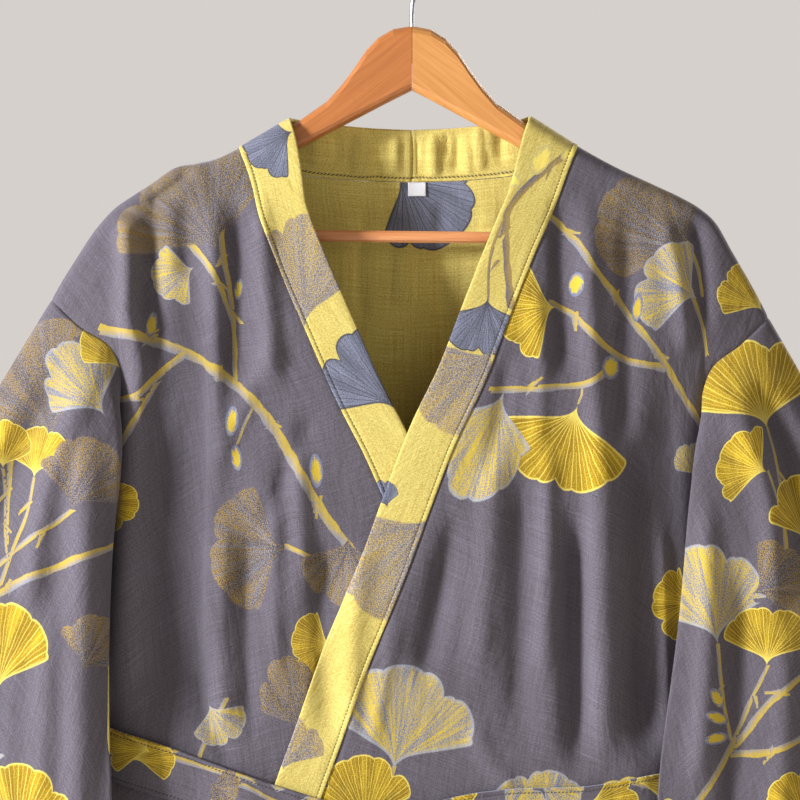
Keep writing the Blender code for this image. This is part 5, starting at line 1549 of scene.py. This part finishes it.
def hang_panels(grey, yellow):
    """The back, the two fronts, the neckband and the sleeves."""
    rows = rows_down(ROWS_ABOVE, ROWS_BELOW)
    pieces = {}
    edge = np.array([0, 0.0035, 0.008, 0.014, 0.022, 0.032])
    across = np.concatenate([edge, np.linspace(0.044, 1, FRONT_COLUMNS_FINE)])
    down, wide = np.meshgrid(rows, across, indexing="ij")
    for side, name, leaves, twigs in (
        (-1, "front_under", LEAVES_FRONT_LEFT + LEAVES_SKIRT, TWIGS_FRONT_LEFT + TWIGS_SKIRT),
        (1, "front_over", LEAVES_FRONT_RIGHT + LEAVES_SKIRT, TWIGS_FRONT_RIGHT + TWIGS_SKIRT),
    ):
        points = front_sheet(side, down, wide)
        x, z = points[..., 0], points[..., 2]
        from_seam = lengths_along(points, 1)
        from_side = from_seam[:, -1:] - from_seam
        from_top = lengths_along(points, 0)
        from_hem = from_top[-1:] - from_top
        calm = eased(from_side / 30) * eased(from_top / 14)
        extra = crease_relief(CREASES_FRONT, x, z) * calm
        extra = extra - 0.7 * near_line(from_seam, 1.8) - 0.6 * near_line(from_side, 1.8)
        extra = extra - 0.35 * near_line(from_hem - HEM_DEPTH, 1.5)
        pieces[name] = make_cloth(
            name, points, side, WALL, (grey, yellow), leaves, twigs, from_hem - HEM_DEPTH, extra,
            trims=((0, False), (1, False), (1, True)),
        )

    half = np.linspace(0, 1, BACK_COLUMNS_FINE + 1)
    neck = np.linspace(-1, 1, NECK_COLUMNS_FINE)[1:-1]
    across = np.concatenate([-1 - half[::-1], neck, 1 + half])
    down, wide = np.meshgrid(rows, across, indexing="ij")
    points = back_sheet(down, wide)
    x, z = points[..., 0], points[..., 2]
    from_left = lengths_along(points, 1)
    from_side = np.minimum(from_left, from_left[:, -1:] - from_left)
    from_top = lengths_along(points, 0)
    from_hem = from_top[-1:] - from_top
    calm = eased(from_side / 30) * eased(from_top / 14)
    extra = crease_relief(CREASES_BACK, x, z) * calm
    extra = extra - 0.6 * near_line(from_side, 1.8) - 0.35 * near_line(from_hem - HEM_DEPTH, 1.5)
    pieces["back"] = make_cloth(
        "back", points, -1, WALL, (grey, yellow), LEAVES_BACK, TWIGS_BACK, from_hem - HEM_DEPTH,
        extra, trims=((0, False), (1, False), (1, True)),
    )

    shares = np.linspace(0, 1, SLEEVE_ROWS_FINE)
    turns = np.linspace(0, 1, SLEEVE_COLUMNS_FINE + 1)
    down, turn = np.meshgrid(shares, turns, indexing="ij")
    for side, name, leaves, twigs, creases in (
        (-1, "sleeve_left", LEAVES_SLEEVE_LEFT, TWIGS_SLEEVE_LEFT, CREASES_SLEEVE_LEFT),
        (1, "sleeve_right", LEAVES_SLEEVE_RIGHT, TWIGS_SLEEVE_RIGHT, CREASES_SLEEVE_RIGHT),
    ):
        points = sleeve_sheet(side, down, turn)
        ease = (1 - eased(down / EASE_LENGTH)) * np.exp(-(((turn - 0.5) / EASE_WIDTH) ** 2))
        points[..., 0] += side * UNDERARM_EASE * ease
        x, z = points[..., 0], points[..., 2]
        front = crease_relief(creases, x, z)
        behind = crease_relief(CREASES_SLEEVE_BACK, x * side, z)
        from_arm = lengths_along(points, 0)
        from_cuff = from_arm[-1:] - from_arm
        calm = eased(from_arm / 22) * eased(np.abs(np.sin(2 * math.pi * turn)) * 2.2)
        extra = np.where(turn < 0.5, front, behind) * calm
        extra = extra - 0.5 * near_line(from_arm, 1.8)
        extra = extra - 0.35 * near_line(from_cuff - CUFF_DEPTH, 1.5)
        pieces[name] = make_cloth(
            name, points, -side, WALL, (grey, yellow), leaves, twigs, from_cuff - CUFF_DEPTH, extra,
            trims=((0, False),), closed=True,
        )

    band_rows = np.concatenate([np.linspace(-1, 0, NECK_COLUMNS_FINE // 2)[:-1], rows])
    across = np.array([
        0, 0.02, 0.045, 0.075, 0.1, 0.13, 0.18, 0.26, 0.36, 0.48, 0.6, 0.72, 0.84, 0.92, 0.97, 1,
    ])
    down, wide = np.meshgrid(band_rows, across, indexing="ij")
    for side, name in ((-1, "neckband_under"), (1, "neckband_over")):
        points = band_sheet(side, down, wide)
        from_seam = wide * BAND_WIDTH
        from_free = (1 - wide) * BAND_WIDTH
        x, z = points[..., 0], points[..., 2]
        gathers = crease_relief(CREASES_BAND, x, z) * (down < 0)
        front = crease_relief(CREASES_FRONT, x, z) * eased(down / 0.1)
        piping = 0.5 * near_line(from_seam - 1.6, 1.2)
        piping = piping - 0.35 * near_line(from_seam - STITCH_IN, 0.9)
        extra = front + gathers + piping - 0.5 * near_line(from_free, 1.0)
        pieces[name] = make_cloth(
            name, points, -side, BAND_WALL, (yellow,), LEAVES_BANDS, TWIGS_BANDS,
            from_seam - STITCH_IN, extra, trims=((0, False), (1, False)),
        )
    return pieces


def sewn_edge(from_edge):
    """The belt's edge drawn in, and the ditch of its stitches."""
    return -0.5 * near_line(from_edge, 0.9) - 0.3 * near_line(from_edge - STITCH_IN, 0.9)


def tie_belt(grey):
    """The belt round the body, its knot and its two ends."""
    turns = np.linspace(0, 1, BELT_COLUMNS_FINE + 1)
    upper = np.array([0.5, 0.485, 0.46, 0.43, 0.4, 0.3, 0.15])
    rises = np.concatenate([upper, [0], -upper[::-1]])
    rise, turn = np.meshgrid(rises, turns, indexing="ij")
    points = belt_sheet(turn, rise)
    from_edge = (0.5 - np.abs(rise)) * BELT_WIDTH
    extra = sewn_edge(from_edge)
    x, z = points[..., 0], points[..., 2]
    extra = extra + crease_relief(CREASES_BELT, x, z) * (turn < 0.5)
    pieces = {"belt_round": make_cloth(
        "belt_round", points, -1, BELT_WALL, (grey,), LEAVES_BELT, TWIGS_BELT,
        from_edge - STITCH_IN, extra, closed=True,
    )}
    shares = np.linspace(0, 1, END_ROWS_FINE)
    down, across = np.meshgrid(shares, 0.5 - rises, indexing="ij")
    for name, line, clear, leaves, twigs in (
        ("belt_end_left", END_LEFT, END_CLEARS[0], LEAVES_END_LEFT, TWIGS_END_LEFT),
        ("belt_end_right", END_RIGHT, END_CLEARS[1], LEAVES_END_RIGHT, TWIGS_END_RIGHT),
    ):
        points = end_sheet(line, down, across, clear)
        middle = points[:, len(upper): len(upper) + 1, 0]
        gather = 1 - eased(down / END_GATHER)
        drawn_in = END_SHIFT * (KNOT_X - middle) - END_PINCH * (points[..., 0] - middle)
        points[..., 0] += gather * drawn_in
        points[..., 2] += gather * END_TUCK
        from_edge = np.minimum(across, 1 - across) * BELT_WIDTH
        length = lengths_along(points, 0)
        from_edge = np.minimum(from_edge, length[-1:] - length)
        pleats = np.sin(across * 16 + line[0][0]) * 1.1 + 0.5 * np.sin(across * 29)
        extra = sewn_edge(from_edge) + gather * pleats
        pieces[name] = make_cloth(
            name, points, 1, BELT_WALL, (grey,), leaves, twigs, from_edge - STITCH_IN, extra,
        )
    return pieces


def tie_knot(grey):
    """The knot: a soft block that the belt's layers turn through, with a wrap across it."""
    bm = bmesh.new()
    bmesh.ops.create_icosphere(bm, subdivisions=6, radius=1.0)
    width, thickness, height = KNOT_SIZE
    front = float(belt_sheet(np.array(KNOT_TURN), np.array(0.0))[1])
    middle = front - (thickness + BELT_WALL) / 2 - KNOT_SEAT
    for vert in bm.verts:
        x, y, z = vert.co
        power = KNOT_SQUARENESS
        square = (abs(x) ** power + abs(y) ** power + abs(z) ** power) ** (-1 / power)
        pinch = 1 - KNOT_PINCH * math.exp(-((z / KNOT_PINCH_HEIGHT) ** 2)) * abs(x)
        slant = x * 0.75 + z * 0.65
        wrap = 1.0 if abs(slant) < 0.42 else 0.84
        edge = math.exp(-(((abs(slant) - 0.44) / 0.06) ** 2)) * 0.14
        crumple = 0.045 * math.sin(11 * slant + 2 * x) + 0.04 * math.sin(13 * (z - x * 0.5) + 1)
        bulge = wrap - edge + crumple
        vert.co = Vector((
            KNOT_X + x * square * pinch * width / 2 * (0.94 + 0.05 * bulge),
            middle + y * square * thickness / 2 * (bulge if y < 0 else 1.0) * 0.97,
            KNOT_Z + z * square * height / 2 * (0.94 + 0.05 * bulge),
        )) * MM
    mesh = bpy.data.meshes.new("belt_knot")
    bm.to_mesh(mesh)
    bm.free()
    mesh.shade_smooth()
    corners = np.empty(len(mesh.loops), int)
    mesh.loops.foreach_get("vertex_index", corners)
    places = np.empty(len(mesh.vertices) * 3)
    mesh.vertices.foreach_get("co", places)
    places = places.reshape(-1, 3)[corners].reshape(-1, 3, 3) / MM
    over, under = lay_leaves(LEAVES_KNOT, places[..., [0, 2]])
    write_corners(mesh, "leaf_over", over)
    write_corners(mesh, "leaf_under", under)
    write_corners(mesh, "twig", lay_twigs((), places[..., [0, 2]]))
    threads = np.stack([places[..., 0] + places[..., 1], places[..., 2], 0 * places[..., 0]], -1)
    write_corners(mesh, "threads", threads)
    write_corners(mesh, "stitches", np.full(places.shape, 50.0))
    mesh.materials.append(grey)
    return {"belt_knot": hang_piece("belt_knot", mesh)}


def sew_label(tape):
    """The blank size label, with its folded sides."""
    across, down = np.meshgrid(np.linspace(-0.5, 0.5, 17), np.linspace(0, 1, 13))
    x = LABEL_X + across * LABEL_SIZE[0]
    z = LABEL_TOP_Z - down * LABEL_SIZE[1]
    y = depth(x, z, False) - WALL / 2 - LABEL_WALL / 2 - SEAM_GAP
    y = y - LABEL_CURL * eased(down) * (0.6 + 0.4 * np.cos(across * math.pi))
    points = np.stack([x, y, z], -1)
    mesh, _, _ = cloth_mesh("size_label", points, np.full(points.shape, (0, -1, 0)), False)
    mesh.materials.append(tape)
    return {"size_label": hang_piece("size_label", mesh, LABEL_WALL)}


def finish_hanger():
    """The hanger keeps its solids and takes wood and steel finishes."""
    # The arms are lit and shaded copies of one wood: the left arm's colours are painted darker than
    # the right arm's, as painted shade.
    left = varnished_wood("left arm wood painted shade", linear(196, 124, 62), linear(166, 94, 42), 0.78)
    right = varnished_wood("right arm wood", linear(218, 156, 84), linear(192, 122, 58), 0.78)
    bar = varnished_wood("bar wood", linear(232, 162, 104), linear(206, 128, 76), 0.0)
    wire = drawn_steel("hook wire")
    for name, material in (
        ("hanger_arm_left", left), ("hanger_arm_right", right),
        ("hanger_bar", bar), ("hanger_hook", wire),
    ):
        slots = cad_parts[name].data.materials
        slots.clear()
        slots.append(material)


def light_and_view():
    """A key low at the left, a wide warm fill, a light behind, a pale floor and the camera."""
    scene = bpy.context.scene
    world = bpy.data.worlds.new("studio")
    scene.world = world
    world.use_nodes = True
    tree = world.node_tree
    around = tree.nodes.new("ShaderNodeTexCoord")
    split = tree.nodes.new("ShaderNodeSeparateXYZ")
    spread = tree.nodes.new("ShaderNodeMapRange")
    shade = tree.nodes.new("ShaderNodeMix")
    shade.data_type = "RGBA"
    spread.inputs[1].default_value, spread.inputs[2].default_value = -0.3, 0.75
    shade.inputs[6].default_value = (*linear(134, 130, 126), 1.0)
    shade.inputs[7].default_value = (*linear(213, 208, 203), 1.0)
    tree.links.new(around.outputs["Generated"], split.inputs[0])
    tree.links.new(split.outputs["Y"], spread.inputs[0])
    tree.links.new(spread.outputs[0], shade.inputs[0])
    tree.links.new(shade.outputs[2], tree.nodes["Background"].inputs[0])
    for name, place, aim, size, power, colour in (
        ("key", (-2.8, -1.45, 0.25), (0, 0, -0.42), 0.6, 200.0, (0.94, 0.97, 1.08)),
        ("fill", (1.2, -3.0, 0.2), (0, 0, -0.45), 1.8, 13.0, (1.0, 0.94, 0.86)),
        ("rear", (1.4, 2.4, 0.8), (0, 0, -0.6), 1.6, 40.0, (1.0, 1.0, 1.0)),
    ):
        light = bpy.data.lights.new(name, "AREA")
        light.size = size
        light.energy = power
        light.color = colour
        lamp = bpy.data.objects.new(name, light)
        lamp.location = place
        lamp.rotation_euler = (Vector(aim) - Vector(place)).to_track_quat("-Z", "Y").to_euler()
        scene.collection.objects.link(lamp)

    bm = bmesh.new()
    bmesh.ops.create_circle(bm, cap_ends=True, segments=128, radius=FLOOR_RADIUS * MM)
    bmesh.ops.translate(bm, verts=bm.verts[:], vec=(0, 0, FLOOR_Z * MM))
    mesh = bpy.data.meshes.new("floor")
    bm.to_mesh(mesh)
    bm.free()
    pale = Finish("floor paint", 0.7)
    where = pale.node("TexCoord").outputs["Object"]
    pale.colour(pale.mix(pale.noise(where, 3.0), linear(214, 211, 206), linear(222, 219, 214)))
    mesh.materials.append(pale.material)
    floor = bpy.data.objects.new("floor", mesh)
    scene.collection.objects.link(floor)

    camera = bpy.data.objects.new("camera", bpy.data.cameras.new("camera"))
    camera.data.sensor_width = SENSOR_WIDTH
    camera.data.lens = CAMERA_DISTANCE * SENSOR_WIDTH / VIEW_WIDTH
    camera.location = (VIEW_X * MM, -CAMERA_DISTANCE * MM, VIEW_Z * MM)
    camera.rotation_euler = (math.pi / 2, 0, 0)
    camera.data.clip_end = 100
    scene.collection.objects.link(camera)
    scene.camera = camera
    scene.view_settings.view_transform = "Standard"


def dress():
    """Makes every piece and puts it in place of its CAD node."""
    grey = double_cloth("grey face", GREY_FACE, 1.0)
    yellow = double_cloth("yellow face", YELLOW_FACE, 0.8)
    pieces = hang_panels(grey, yellow)
    pieces.update(tie_belt(grey))
    pieces.update(tie_knot(grey))
    pieces.update(sew_label(plain_tape("label tape")))
    for name, piece in pieces.items():
        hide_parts(name)
    finish_hanger()
    light_and_view()


dress()
